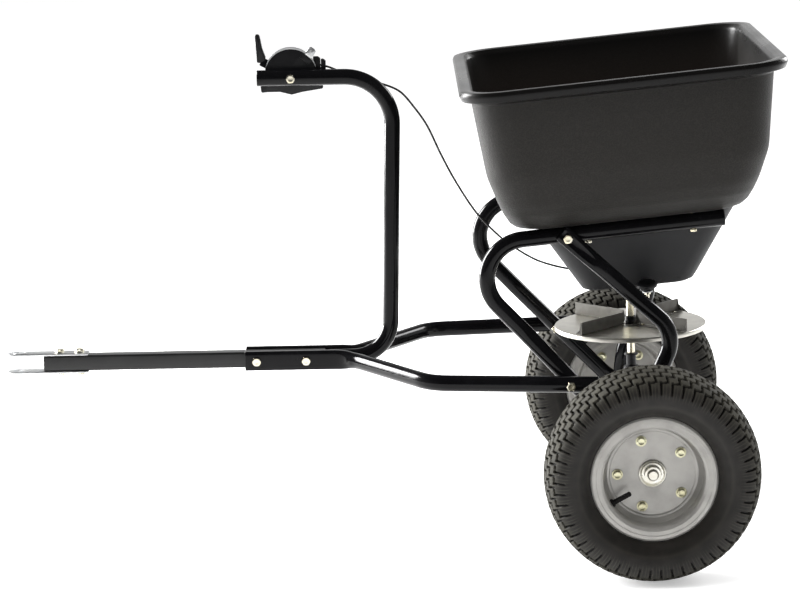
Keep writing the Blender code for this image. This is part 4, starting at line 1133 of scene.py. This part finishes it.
    def build_clamp(self) -> None:
        """Moulded clamp that holds the cable's end, with a second rib behind it."""
        shell = Shell()
        for front, rear, foot, top in ((35.4, 47.2, 5.0, 31.0), (48.0, 55.6, 6.0, 27.0)):
            block = [(front, foot), (rear, foot), (rear, top - 3), (rear - 4, top), (front, top)]
            block = fillet(block, 1.6, 4, True)
            prism(block + [self.pivot, self.top], self.far + GAP, self.far + 9, 1, 0.6, shell)
        link = [(46.0, 8), (50.0, 8), (50.0, 14), (46.0, 14)]
        prism(np.array(link) + [self.pivot, self.top], self.far + GAP + 0.2, self.far + 7, 1, 0.3, shell)
        piece("cable_clamp", shell, Slot.BLACK_PLASTIC)


@dataclass
class ControlCable:
    """The cable from the lever's drum down to the gate's guide."""

    arm: ControlArm

    def route(self) -> list[tuple[float, float, float]]:
        """The cable's points from the drum, over the clamp and down to the guide."""
        arm = self.arm
        y = arm.far + 2 + 2 * GAP + arm.cable
        z = arm.top + arm.drum + GAP + arm.cable
        free = [
            (-541, y, z), (-520, y, z), (-503, y, z), (-484, y, 752), (-462, 19.5, 743),
            (-434, 18, 735), (-402.7, 17, 725), (-372.2, 17, 711.3), (-349.2, 18, 684.7),
            (-328.7, 19, 653.7), (-308.5, 22, 609), (-284.2, 30, 561), (-250.5, 45, 506.6),
            (-211.1, 64, 462.8), (-185.8, 76, 442), (-149.4, 94, 418.5), (-104, 110, 402.5),
        ]
        return free + [tuple(HOPPER_FRAME.point(u, Hopper.wire, -359.3)) for u in (-70.0, -54.3)]

    def build(self) -> None:
        radius = self.arm.cable
        points = (hermite(self.route(), 8) + [AXLE_X, 0, 0]) * MM
        curve = bpy.data.curves.new("control_cable_run", "CURVE")
        curve.dimensions = "3D"
        curve.bevel_depth = radius * MM
        curve.bevel_resolution = 4
        curve.use_fill_caps = True
        spline = curve.splines.new("POLY")
        spline.points.add(len(points) - 1)
        spline.points.foreach_set("co", np.column_stack([points, np.ones(len(points))]).ravel())
        spline.use_smooth = True
        made = bpy.data.objects.new("control_cable_run", curve)
        bpy.context.scene.collection.objects.link(made)
        curve.materials.append(FINISHES.get(Slot.CABLE))
        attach(made, "chassis")
        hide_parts("control_cable")


# Hopper, funnel and gate


@dataclass
class Hopper:
    """Moulded hopper, the funnel under it and the sliding gate."""

    floor: float = -230.5
    base_floor: float = -358.0
    steps: int = 14
    columns: int = 4 * (steps + 1)
    shaft_hole: float = 8.0
    port: tuple = (10.0, 38.0)
    travel: float = 16 * math.radians(75)
    knob: tuple = (12.0, -123.0, 0.0)
    wire: float = 112.0
    outer: tuple = (
        (-230.5, 178, 163, 196, 52), (-228.3, 184.5, 170.5, 201, 54), (-221, 192, 178.5, 211, 57),
        (-204, 200, 187, 232, 60), (-184, 207, 196, 247, 62), (-140, 220, 213, 262, 66),
        (-22, 231.5, 228.5, 275.5, 62), (-17.5, 238, 236, 282.5, 63), (-16.5, 245.5, 245.5, 291, 66),
        (-6, 250, 250, 295.5, 68), (-0.6, 246.5, 246.5, 292, 65), (0, 239, 239, 284.5, 59),
    )
    inner: tuple = (
        (-1.2, 231, 231, 277.5, 55), (-8, 227, 227, 273, 54), (-140, 216, 209, 258, 62),
        (-184, 203, 192, 243, 58), (-205, 195, 182, 225, 54), (-226.5, 176, 163, 196.5, 50),
        (-226.5, 128, 128, 150, 30), (-230.5, 128, 128, 150, 30),
    )

    def build(self) -> None:
        """Make and dress the hopper and all below it."""
        self.build_bin()
        self.build_funnel()
        self.build_gate()

    def levels(self, given: Sequence, radii: Sequence[float] | float) -> np.ndarray:
        """Smooth the corners between levels, each (height, front, rear, half width, corner)."""
        return fillet(np.array(given, float), radii, 5)

    def rings(self, levels: np.ndarray) -> np.ndarray:
        """Rings of points, one for each level, set between its front and rear lengths."""
        return np.array([np.column_stack([rounded_box((front + rear) / 2, v, corner, self.steps),
                                          np.full(self.columns, w)]) + [(rear - front) / 2, 0, 0]
                         for w, front, rear, v, corner in levels])

    def build_bin(self) -> None:
        """The hopper: one closed skin from the floor over the rolled lip and down inside."""
        outer = (9, 9, 14, 40, 60, 60, 3, 2, 3, 9, 3, 3)
        inner = (2, 9, 90, 60, 40, 12, 2, 0)
        levels = self.levels(self.outer + self.inner, outer + inner)
        rows = self.rings(levels)
        heights = levels[:, 0]
        top = int(np.argmax(heights))
        lip = smoothstep(-26, -19, heights)
        inside = (np.arange(len(levels)) > top) * 1.0 * (1 - lip)
        marks = {"lip": np.repeat(lip, self.columns), "inside": np.repeat(inside, self.columns)}
        piece("hopper", Shell().grid(rows, loop=True, **marks).turned(HOPPER_FRAME.matrix()), Slot.HOPPER)

    def build_funnel(self) -> None:
        """Funnel with a flange, a flat floor, two ports and the shaft's hole."""
        low = self.base_floor
        top = self.floor - GAP
        outer = [(top, 154, 162, 172, 38), (top - 3, 154, 162, 172, 38), (top - 3, 152, 160, 166, 38),
                 (low + 14, 92, 97, 98, 30), (low + 4, 86, 90, 91, 26), (low, 78, 82, 83, 22)]
        inner = [(low + 3, 76, 79, 81, 20), (low + 14, 88, 93, 95, 28), (top - 3, 149, 157, 163, 35),
                 (top, 148, 156, 162, 34)]
        rows = np.concatenate([self.rings(self.levels(side, 4.0))[::-1] for side in (outer, inner)])
        shell = Shell().grid(rows, caps=(True, True)).turned(HOPPER_FRAME.matrix())
        made = piece("hopper_base", shell, Slot.BLACK_PLASTIC, variant="funnel")
        pierce(made, [self.hole(low, 12), *self.ports(5, low, 12)])

    def shaft_u(self, level: float) -> float:
        """Where the leaning shaft passes a level of the hopper's frame."""
        back = HOPPER_FRAME.matrix().inverted()
        low, high = (back @ SHAFT_FRAME.matrix() @ Vector((0, 0, h)) for h in (0, 300))
        return low.x + (high.x - low.x) * (level - low.z) / (high.z - low.z)

    def hole(self, w: float, half: float) -> Shell:
        """Cutting shape of the shaft's hole at a level of the hopper's frame."""
        wall = [(self.shaft_hole, -half), (self.shaft_hole, half)]
        return lathe(wall, 2, (self.shaft_u(w), 0, w), 40, False).turned(HOPPER_FRAME.matrix())

    def ports(self, u: float, w: float, half: float) -> list[Shell]:
        """Cutting shapes of the two square ports, in the hopper's frame."""
        size, apart = self.port
        outline, tilt = rounded_box(size, size, 1.2, 5), HOPPER_FRAME.matrix()
        return [prism(outline + [u, v], w - half, w + half, 2, 0.1).turned(tilt) for v in (-apart, apart)]

    def build_gate(self) -> None:
        """Gate plate, its channel, the knob with its screw and the cable's guide."""
        top = self.base_floor - GAP
        low = top - 2
        rest = -self.travel
        tilt = HOPPER_FRAME.matrix()
        outline = np.array([
            (rest - 24, -55), (4, -55), (4, -132), (20, -132), (20, -55), (rest + 56, -55), (rest + 56, 55),
            (rest + 44, 55), (rest + 44, 117), (rest + 34, 117), (rest + 34, 55), (rest - 24, 55),
        ])
        outline = fillet(outline, [3, 1, 6, 6, 1, 3, 3, 1, 2, 2, 1, 3], 5, True)
        shell = prism(outline, low, top, 2, 0.3)
        lathe([(0.8, rest - 17), (0.8, rest + 36)], 0, (0, self.wire, (low + top) / 2), 16, False, shell)
        gate = piece("flow_gate", shell.turned(tilt), Slot.GALVANISED, "gate")
        shaft, radius = self.shaft_u(low), self.shaft_hole
        slot = np.vstack([ring(radius, 20, -math.pi / 2, math.pi / 2) + [shaft, 0],
                          ring(radius, 20, math.pi / 2, 1.5 * math.pi) + [shaft + rest, 0]])
        pierce(gate, [prism(slot, low - 6, top + 6, 2, 0.1).turned(tilt), *self.ports(5 + rest, low + 1, 8)])
        under = low - GAP
        channel = fillet([(-62, top), (-62, under - 2), (64, under - 2), (64, top), (61, top), (61, under),
                          (-59, under), (-59, top)], [0.3, 2.5, 2.5, 0.3, 0.3, 1, 1, 0.3], 4, True)
        guide = piece("gate_guide", prism(channel, -60, 60, 1, 0.2).turned(tilt), Slot.GALVANISED)
        pierce(guide, [self.hole(under, 8), *self.ports(5, under, 8)])
        self.build_knob(top, low, tilt)
        tube = fillet([(1.6, -54), (4, -54), (4, -4), (1.6, -4)], 0.4, 3, True)
        shell = lathe(tube, 0, (0, self.wire, (low + top) / 2), 40)
        arm = fillet([(-38, 62), (-26, 62), (-26, 109.4), (-38, 109.4)], 1.0, 3, True)
        prism(arm, low + 0.2, top, 2, 0.2, shell)
        piece("cable_guide", shell.turned(tilt), Slot.GALVANISED)

    def build_knob(self, top: float, low: float, tilt: Matrix) -> None:
        """Mushroom knob over the gate's arm and the screw that holds it."""
        dome = [(6, top + GAP), (6, top + 3), (12, top + 3.4), (15.6, top + 5.2), (16.5, top + 8),
                (15.6, top + 11.2), (12.4, top + 14.8), (7, top + 17.4), (0.6, top + 18.2)]
        profile = hermite(dome[2:], 5)
        shell = lathe(np.vstack([dome[:2], profile]), 2, self.knob, 64, False)
        piece("gate_knob", shell.turned(tilt), Slot.BLACK_PLASTIC, "gate")
        screw = [(2.4, top), (2.4, low - 9), (2.0, low - 9.6)]
        shell = lathe(screw, 2, self.knob, 24, False)
        nut = hexagon(5.2, ((low - 0.1, 5), (low - 3.6, 5)), 48)
        shell.grid(nut + self.knob, caps=(True, True))
        piece("gate_knob_screw", shell.turned(tilt), Slot.ZINC, "gate", extra=True)


# Wheels and axle


@dataclass
class Wheel:
    """One wheel: treaded tyre, two rim halves, hub, wheel bolts and valve stem."""

    side: Side
    track: float = 636.0
    radius: float = 165.0
    sheet: float = 2.2
    pitches: int = 54
    depth: float = 5.0
    rows: tuple[float, ...] = (9.0, 24.0, 39.0, 54.0)
    bolts: int = 5
    bolt_circle: float = 53.4
    valve_angle: float = -146.5

    @property
    def word(self) -> str:
        """How the wheel's pieces are named."""
        return "drive" if self.side is Side.LEFT else "free"

    @property
    def body(self) -> str:
        """The body that the wheel's pieces ride on."""
        return "drive_axle" if self.side is Side.LEFT else "free_wheel"

    @property
    def at(self) -> tuple[float, float, float]:
        """The wheel's centre."""
        return (0.0, self.side.value * self.track / 2, self.radius)

    def around(self, turn: float, radius: float, y: float) -> np.ndarray:
        """A point at an angle and a radius round the wheel, y outwards from its centre."""
        return np.array([radius * math.cos(turn), y * self.side.value, radius * math.sin(turn)]) + self.at

    def build(self) -> None:
        """Make and dress the wheel."""
        self.build_tyre()
        self.build_rim("outer", self.side.value)
        self.build_rim("inner", -self.side.value)
        self.build_hub()
        self.build_bolts()
        self.build_valve()

    def build_tyre(self) -> None:
        """Tyre whose skin is pushed in along the grooves of its tread.

        A point at distance s from the crown, over the skin, and at angle p, in
        pitches, moves inwards by depth (1 - mask(s, p)).
        """
        half = hermite([(165, 0), (164.7, 9), (162.9, 22), (160.4, 35), (155.8, 47), (149, 56.5),
                        (139, 62.6), (128, 64), (117, 61.8), (108, 56.2), (101.5, 49), (98.6, 43.5)], 24)
        runs = np.concatenate([[0], np.cumsum(np.linalg.norm(np.diff(half, axis=0), axis=1))])
        wanted = np.concatenate([np.arange(0, 79, 1.9), np.linspace(80, runs[-1], 9)])
        right = np.stack([np.interp(wanted, runs, half[:, k]) for k in range(2)], 1)
        left = right[:0:-1] * [1, -1]
        outer, s = np.vstack([left, right]), np.concatenate([-wanted[:0:-1], wanted])
        inner = [(97.6, 41), (97.6, 38.6), (78.4, 38.6), (78.4, 27), (126, 47), (149, 26)]
        inner = np.array(inner + [(r, -y) for r, y in inner[::-1]])
        fine = 15
        columns = self.pitches * fine
        p = np.arange(columns) / fine
        tread = self.tread_mask(s, p)
        step = np.gradient(outer, axis=0)
        normal = np.stack([step[:, 1], -step[:, 0]], 1) / np.linalg.norm(step, axis=1)[:, None]
        normal *= np.sign(normal[len(s) // 2, 0])
        cut = (1 - tread) * (self.depth - 1.6 * smoothstep(52, 70, np.abs(s)))[:, None]
        rings = 0.7 * (np.exp(-((np.abs(s) - 96) / 1.2) ** 2) + np.exp(-((np.abs(s) - 113) / 1.6) ** 2))
        lift = rings - 0.7 * smoothstep(70, 90, np.abs(s))
        reach = outer[:, None, 0] + normal[:, None, 0] * (lift[:, None] - cut)
        along = outer[:, None, 1] + normal[:, None, 1] * (lift[:, None] - cut)
        reach = np.vstack([reach, np.repeat(inner[:, :1], columns, 1)])
        along = np.vstack([along, np.repeat(inner[:, 1:], columns, 1)])
        angle = TAU * p / self.pitches
        rows = np.stack([reach * np.cos(angle), along, reach * np.sin(angle)], -1) + np.array(self.at)
        inside = np.zeros((len(inner), columns))
        wall = np.concatenate([smoothstep(48, 72, np.abs(s)), np.ones(len(inner))])
        # painted highlight mark on thin shoulder ribs, which have no relief, and on the two raised wall rings
        rib_highlight_mask = np.isin(np.arange(columns) % fine, (3, 8, 12)) * 1.0
        length = smoothstep(56, 60, np.abs(s)) * (1 - smoothstep(76, 84, np.abs(s)))
        rib_highlight_mask = np.vstack([length[:, None] * rib_highlight_mask, inside])
        rib_highlight_mask = rib_highlight_mask + np.concatenate([rings, inside[:, 0]])[:, None] * 0.6
        mask = np.vstack([tread, inside + 1])
        shell = Shell().grid(rows, loop=True, tread=mask, wall=np.repeat(wall, columns), rib=rib_highlight_mask)
        piece(f"{self.word}_tyre", shell, Slot.RUBBER, self.body)

    def tread_mask(self, s: np.ndarray, p: np.ndarray) -> np.ndarray:
        """1 on block tops and 0 in grooves, over the distances s and angles p.

        Each groove is a bent line, one for each pitch. It crosses row k, between the
        distances rows[k] and rows[k + 1], at p = k/2 + lean t with t from 0 to 1 over
        the row, then follows the row's edge for half a pitch and crosses the next row.
        Past the last row it ends in a slit down the shoulder.

        Args:
            s: Distances from the crown, in mm.
            p: Angles, in pitches.

        Returns:
            The mask, rows by columns.
        """
        pitch = TAU * self.radius / self.pitches
        x, y = p[None], np.abs(s)[:, None]
        lean = -0.12
        mask = np.ones((len(s), len(p)))
        edges = (0.0, *self.rows, 77.0)
        for k in range(len(edges) - 1):
            low, high = edges[k], edges[k + 1]
            share = np.clip((y - low) / (high - low), 0, 1)
            last = k == len(edges) - 2
            across = np.abs((x - 0.5 * k - lean * share * (1 - 0.5 * last) + 0.5) % 1 - 0.5) * pitch
            wide = 1.9 - 0.8 * share if last else 1.75
            cross = smoothstep(wide - 0.7, wide + 0.5, across)
            here = (y >= low - 1.0) & (y <= high + 1.0)
            if last:
                cross = np.maximum(cross, smoothstep(72, 76, y))
            mask = np.where(here, np.minimum(mask, cross), mask)
            if k:
                run = (x - 0.5 * (k - 1) - lean) % 1
                on = (run < 0.5 - lean + 0.06) | (run > 0.94)
                level = low + 3.0 * (run - 0.2) * (run < 0.9)
                edge = smoothstep(0.6, 1.7, np.abs(y - level))
                mask = np.where(on, np.minimum(mask, edge), mask)
        return mask

    def build_rim(self, word: str, sign: int) -> None:
        """One pressed half of the rim: disc, dish, bead seat and curled flange."""
        disc = GAP / 2 + self.sheet
        outside = [(13.3, disc), (64.5, disc), (66.6, 3.6), (69.6, 3.8), (75.8, 13.5), (75.8, 33),
                   (77.4, 38), (81.4, 40.4), (87.6, 40.4), (88.6, 41), (93.6, 40.8), (96.6, 39.4)]
        inside = [(96.8, 37.9), (95.8, 37.2), (92.8, 38.5), (86, 38.7), (80.2, 37.6), (78, 34), (78, 13),
                  (74.2, 10.2), (68, 1.6), (64.5, GAP / 2), (13.3, GAP / 2)]
        sizes = [0.4, 2, 1.6, 1.6, 4, 5, 2, 1, 0.5, 0.5, 2, 1, 0.8, 1, 2, 2, 3, 4, 4, 4, 2, 2, 0.4]
        profile = fillet(outside + inside, sizes, 5, True) * [1, sign]
        piece(f"{self.word}_rim_{word}", lathe(profile, 1, self.at, 144), Slot.SILVER, self.body)

    def build_hub(self) -> None:
        """Hub sleeve, its flange washer and the collar at the axle's end."""
        face = GAP / 2 + self.sheet + GAP
        hub = [(8.3, -76), (13, -76), (13, face), (21, face), (21, face + 2.6), (19.2, face + 3.4),
               (16.5, face + 1.5), (12.8, face + 1.5), (12.8, 14), (8.3, 14)]
        profile = fillet(hub, 0.7, 4, True) * [1, self.side.value]
        piece(f"{self.word}_hub", lathe(profile, 1, self.at, 80), Slot.ZINC, self.body, "axle")

    def build_bolts(self) -> None:
        """Five hex bolts through the disc, each on a round washer, and their nuts behind."""
        shell = Shell()
        sign = self.side.value
        low = GAP / 2 + self.sheet
        first = math.radians(180.8 if self.side is Side.LEFT else 200)
        head = hexagon(6.9, ((0.9, 6.0), (1.3, 6.9), (4.6, 6.9), (5.5, 6.0), (5.8, 4.8), (5.3, 3.6)))
        washer = level_rows(np.linspace(0, TAU, 72, endpoint=False), ((0.0, 8.4), (0.7, 8.4), (0.9, 8.0)))
        bolt = np.concatenate([washer, head])
        for k in range(self.bolts):
            turn = first + k * TAU / self.bolts
            spot = self.around(turn, self.bolt_circle, 0)
            for out in (sign, -sign):
                rows = np.stack([bolt[..., 0], out * (bolt[..., 2] + low + 0.02), bolt[..., 1]], -1)
                shell.grid(rows + spot, caps=(True, True))
        piece(f"{self.word}_wheel_bolts", shell, Slot.ZINC, self.body, "yellow", True)

    def build_valve(self) -> None:
        """Rubber valve stem with a ribbed cap, leaning in from the dish wall."""
        turn = math.radians(self.valve_angle)
        foot, tip = (self.around(turn, r, y) for r, y in ((75.4, 19.0), (43.0, 30.0)))
        along = Vector(tip - foot)
        profile = [(6.4, 0.5), (6.4, 2.2), (4.4, 4.0), (3.4, 5.5)]
        for k in range(7):
            profile += [(4.0, 6 + k * 3.4), (4.0, 7.7 + k * 3.4), (3.1, 8.2 + k * 3.4), (3.1, 9.2 + k * 3.4)]
        profile += [(3.9, 30.2), (3.9, along.length - 1.2), (3.0, along.length)]
        place = Matrix.Translation(foot) @ facing(along.normalized())
        shell = lathe(profile, 2, count=40, closed=False).turned(place)
        piece(f"{self.word}_valve_stem", shell, Slot.RUBBER, self.body, extra=True)


@dataclass
class Drive:
    """Axle, its pins, the gearbox with its gears, the shaft and the impeller."""

    axle: float = 8.0
    axle_z: float = 165.0
    reach: float = 337.0
    plate: float = 122.0
    height: float = 166.9
    vane: float = 20.0
    vanes: int = 4
    teeth: tuple[int, int] = (24, 8)

    def build(self) -> None:
        """Make and dress the drive."""
        self.build_axle()
        self.build_gears()
        self.build_gearbox()
        self.build_impeller()

    def build_axle(self) -> None:
        """Round bar with chamfered ends, and its two cross pins."""
        shell = lathe(bar(self.axle, self.reach, 1.4), 1, (0, 0, self.axle_z), 64, False)
        piece("axle", shell, Slot.ZINC, "drive_axle", "axle")
        for name, radius, half, y in (("drive_pin", 2.0, 13.5, -328.0), ("free_wheel_pin", 1.6, 13.0, 334.4)):
            pin = lathe(bar(radius, half), 0, (0, y, self.axle_z), 28, False)
            piece(name, pin, Slot.STEEL, "drive_axle")

    def build_gears(self) -> None:
        """Face gear on the axle and the pinion, with rounded teeth from a cosine."""
        gear_teeth, pinion_teeth = self.teeth
        angle = np.linspace(0, TAU, gear_teeth * 12, endpoint=False)
        turn = math.pi / 2 + math.atan2(-SHAFT_FRAME.x, 26) + SHAFT_FRAME.lean
        rise = 1.3 - 1.3 * np.cos((angle - turn) * gear_teeth)
        plan = [(8.3, 24, 0), (8.3, 11, 0), (22, 11, 1), (36, 11, 1), (36, 15, 0), (14, 15, 0), (14, 24, 0)]
        rows = np.array([np.stack([r * np.cos(angle), y - rise * toothed, r * np.sin(angle)], 1)
                         for r, y, toothed in plan])
        shell = Shell().grid(rows + [0, 0, self.axle_z], loop=True)
        piece("ring_gear", shell, Slot.STEEL, "drive_axle")
        angle = np.linspace(0, TAU, pinion_teeth * 14, endpoint=False)
        radius = 8.5 + 1.5 * np.cos((angle - math.pi / 2) * pinion_teeth)
        levels = ((20, radius - 0.5), (20.6, radius), (32.4, radius), (33, radius - 0.5), (33, 4.3),
                  (20, 4.3))
        shell = Shell().grid(level_rows(angle, levels), loop=True)
        piece("pinion", shell.turned(SHAFT_FRAME.matrix()), Slot.STEEL, "impeller")

    def build_gearbox(self) -> None:
        """Two moulded cups that meet beside the ring gear, each with its half of the shaft's neck."""
        for side, depth in ((Side.LEFT, 20.0), (Side.RIGHT, 30.0)):
            sign = side.value
            near = sign * GAP / 2
            floor, face = sign * (depth - 4), sign * depth
            profile = [(8.3, floor), (39, floor), (39, near), (43, near), (43, face), (8.3, face)]
            rounded = fillet(profile, [0, 3, 0, 0.6, 5, 0.6], 5, True)
            shell = lathe(rounded, 1, (0, 0, self.axle_z), 96)
            self.add_neck(piece(f"{side.word}_gearbox_half", shell, Slot.BLACK_PLASTIC), side)

    def add_neck(self, case: bpy.types.Object, side: Side) -> None:
        """Join half of the neck to a gearbox half and clear its bore.

        Args:
            case: The gearbox half.
            side: Which half it is.
        """
        sign = side.value
        tilt = SHAFT_FRAME.matrix()
        neck = lathe([(12.5, 38), (12.5, 95.5), (11.2, 97)], 2, count=64, closed=False).turned(tilt)
        bore = lathe([(8.1, 30), (8.1, 120)], 2, count=48, closed=False).turned(tilt)
        reach, z = 60.0, self.axle_z
        low, high = sorted((-sign * 40, sign * GAP / 2))
        block = [(-reach, z - 60), (reach, z - 60), (reach, z + 120), (-reach, z + 120)]
        away = prism(block, low, high, 1, 0.001)
        tool = neck.build("neck")
        join = case.modifiers.new("neck", "BOOLEAN")
        join.object, join.operation, join.solver = tool, "UNION", "EXACT"
        pierce(case, [away, bore, lathe([(8.3, -reach), (8.3, reach)], 1, (0, 0, z), 48, False)])
        bpy.data.objects.remove(tool)

    def build_impeller(self) -> None:
        """Shaft, bush, spinning plate with a turned-down rim, four vanes and the agitator."""
        tilt = SHAFT_FRAME.matrix()
        shaft = [(4, 14), (4, 36), (6, 36), (6, 284), (4, 286)]
        shell = lathe(shaft, 2, count=48, closed=False)
        piece("impeller_shaft", shell.turned(tilt), Slot.ZINC, "impeller")
        bush = fillet([(6.3, 50), (7.8, 50), (7.8, 115), (11, 115), (11, 118), (6.3, 118)], 0.6, 4, True)
        piece("shaft_bush", lathe(bush, 2, count=64).turned(tilt), Slot.BLACK_PLASTIC)
        top, edge = self.height, self.plate
        plate = [(6.3, top), (edge, top), (edge, top - 7), (edge - 2, top - 7), (edge - 2, top - 2),
                 (14, top - 2), (14, top - 12), (6.3, top - 12)]
        shell = lathe(fillet(plate, [0.3, 2.4, 0.6, 0.6, 1, 1, 0.6, 0.3], 6, True), 2, count=144)
        piece("impeller_plate", shell.turned(tilt), Slot.STEEL, "impeller", "satin")
        collar = fillet([(6.1, top + 0.1), (10.5, top + 0.1), (10.5, top + 4), (9, top + 5), (9, top + 12),
                         (6.1, top + 12)], [0.2, 0.8, 1, 1, 0.8, 0.3], 4, True)
        shell = lathe(collar, 2, count=56)
        piece("impeller_collar", shell.turned(tilt), Slot.BLACK_PLASTIC, "impeller", extra=True)
        clip = lathe(bar(1.2, 13), 0, (0, 0, top + 8), 20, False)
        piece("impeller_clip", clip.turned(tilt), Slot.ZINC, "impeller", extra=True)
        section = fillet([(0, 0), (0, self.vane), (-1.6, self.vane), (-1.6, 1.6), (-12, 1.6), (-12, 0)],
                         [1.4, 0.4, 0.4, 0.8, 0.4, 0.4], 4, True)
        rows = np.array([np.column_stack([np.full(len(section), r), section]) for r in (15.0, edge - 4)])
        for k in range(self.vanes):
            angle = math.radians(45 + 360 / self.vanes * k)
            turn = Matrix.Translation((0, 0, top + GAP)) @ Matrix.Rotation(angle, 4, "Z")
            name = f"impeller_vane_{k + 1}"
            shell = Shell().grid(rows, caps=(True, True)).turned(tilt @ turn)
            rivets = Shell()
            for r in (32.0, 100.0):
                lathe([(3.4, 1.6), (3.2, 2.4), (2.0, 3.1), (0.5, 3.3)], 2, (r, -7.2, 0), 24, False, rivets)
            # the vanes take the darkened copy of the steel: painted shade
            piece(name, shell, Slot.STEEL, "impeller", "vane")
            piece(name + "_rivets", rivets.turned(tilt @ turn), Slot.ZINC, "impeller", extra=True)
        stirrer = lathe(bar(2.6, 45), 0, (0, 0, 274), 28, False)
        piece("agitator", stirrer.turned(tilt), Slot.STEEL, "impeller")


# Studio


@dataclass
class Camera:
    """Camera at the photograph's place, tilt and roll; its focal length is in pixels."""

    place: tuple[float, float, float] = (-377.9, -4759.4, 1323.0)
    focal: float = 3020.0
    elevation: float = 11.22
    roll: float = 1.073
    width: int = 800
    sensor: float = 36.0

    def build(self) -> None:
        """Set up the camera."""
        e, r = math.radians(self.elevation), math.radians(self.roll)
        ahead = Vector((0, math.cos(e), -math.sin(e)))
        right = Vector((1, 0, 0))
        down = ahead.cross(right)
        across = right * math.cos(r) + down * math.sin(r)
        below = down * math.cos(r) - right * math.sin(r)
        data = bpy.data.cameras.new("camera")
        data.sensor_width = self.sensor
        data.lens = self.focal / self.width * self.sensor
        data.clip_start, data.clip_end = 0.1, 60
        made = bpy.data.objects.new("camera", data)
        matrix = Matrix((across, -below, -ahead)).transposed().to_4x4()
        matrix.translation = Vector((self.place[0] + AXLE_X, self.place[1], self.place[2])) * MM
        made.matrix_world = matrix
        bpy.context.scene.collection.objects.link(made)
        bpy.context.scene.camera = made


@dataclass
class Studio:
    """White studio: pale floor, bright surroundings and soft boxes."""

    boxes: tuple = (
        ("top_box", (-0.5, -0.9, 3.2), (0.3, 0, 0.4), (2.6, 1.6), 75, False),
        ("left_box", (-2.8, 1.7, 1.3), (0.3, 0, 0.6), (1.4, 2.4), 430, True),
        ("rear_box", (2.4, 2.2, 1.6), (0.3, 0, 0.5), (0.9, 1.8), 60, True),
    )

    def build(self) -> None:
        """Set up the world, the floor and the lamps."""
        self.build_world()
        self.build_floor()
        for box in self.boxes:
            self.lamp(*box)
        bpy.context.scene.view_settings.view_transform = "Standard"

    def build_world(self) -> None:
        """White to the camera; in gloss, white behind at the horizon and dim in front and above."""
        world = bpy.data.worlds.new("studio")
        world.use_nodes = True
        bpy.context.scene.world = world
        tree = world.node_tree
        nodes = Nodes(tree)
        background = tree.nodes["Background"]
        look = nodes.node("ShaderNodeTexCoord", {}, {})
        x, y, z = nodes.split(Value(nodes, look.outputs["Generated"]))
        path = nodes.node("ShaderNodeLightPath", {}, {})
        camera = Value(nodes, path.outputs["Is Camera Ray"])
        glossy = Value(nodes, path.outputs["Is Glossy Ray"])
        behind = y.step(-0.1, 0.45)
        above = z.step(0.15, 0.95)
        side = x.math("ABSOLUTE", x).step(0.55, 0.95)
        horizon = 1 - z.step(0.15, 0.7)
        shine = behind.math("MAXIMUM", behind, side * 0.35) * horizon * 0.93 + 0.07
        soft = 0.55 + above * 0.25
        light = shine * glossy + soft * (1 - glossy)
        strength = camera + light * (1 - camera)
        nodes.feed(background.inputs["Color"], (1.0, 1.0, 1.0, 1.0))
        nodes.feed(background.inputs["Strength"], strength)

    def build_floor(self) -> None:
        """Wide pale floor, lifted towards white where the camera sees it."""
        mesh = bpy.data.meshes.new("floor")
        size = 9.0
        corners = [(-size, -size, 0), (size, -size, 0), (size, size, 0), (-size, size, 0)]
        mesh.from_pydata(corners, [], [(0, 1, 2, 3)])
        floor = bpy.data.objects.new("floor", mesh)
        floor.location = (0, 0, -0.0005)
        bpy.context.scene.collection.objects.link(floor)
        nodes = Paint("floor")
        path = nodes.node("ShaderNodeLightPath", {}, {})
        camera = Value(nodes, path.outputs["Is Camera Ray"])
        glossy = Value(nodes, path.outputs["Is Glossy Ray"])
        lift = camera * 0.42 + glossy * 0.2
        nodes.dress(Base_Color=(0.86, 0.86, 0.86), Roughness=0.9)
        glow = nodes.node("ShaderNodeEmission", {}, {"Color": (1.0, 1.0, 1.0), "Strength": lift})
        both = nodes.node("ShaderNodeAddShader", {}, {})
        nodes.tree.links.new(nodes.shader.outputs[0], both.inputs[0])
        nodes.tree.links.new(glow.outputs[0], both.inputs[1])
        nodes.tree.links.new(both.outputs[0], nodes.tree.nodes["Material Output"].inputs[0])
        mesh.materials.append(nodes.material)

    def lamp(self, name: str, at: Sequence[float], aim: Sequence[float], size: Pair,
             power: float, gloss: bool) -> None:
        """Soft rectangular light.

        Args:
            name: Its name.
            at: Where it hangs, in metres.
            aim: Where it points.
            size: Its two sides.
            power: Watts.
            gloss: Whether it shows in reflections.
        """
        data = bpy.data.lights.new(name, "AREA")
        data.shape = "RECTANGLE"
        data.size, data.size_y = size
        data.energy = power
        made = bpy.data.objects.new(name, data)
        made.location = at
        made.visible_glossy = gloss
        made.rotation_euler = (Vector(aim) - Vector(at)).to_track_quat("-Z", "Y").to_euler()
        bpy.context.scene.collection.objects.link(made)


def main() -> None:
    """Build the camera and the cable, then the machine and its studio."""
    logging.basicConfig(level=logging.INFO, format="%(message)s")
    arm = ControlArm()
    wheels = [Wheel(side) for side in Side]
    for part in (Camera(), ControlCable(arm), Chassis(), arm, Hopper(), *wheels, Drive(), Studio()):
        part.build()
        LOG.info("%s built", type(part).__name__)


if __name__ == "__main__":
    main()
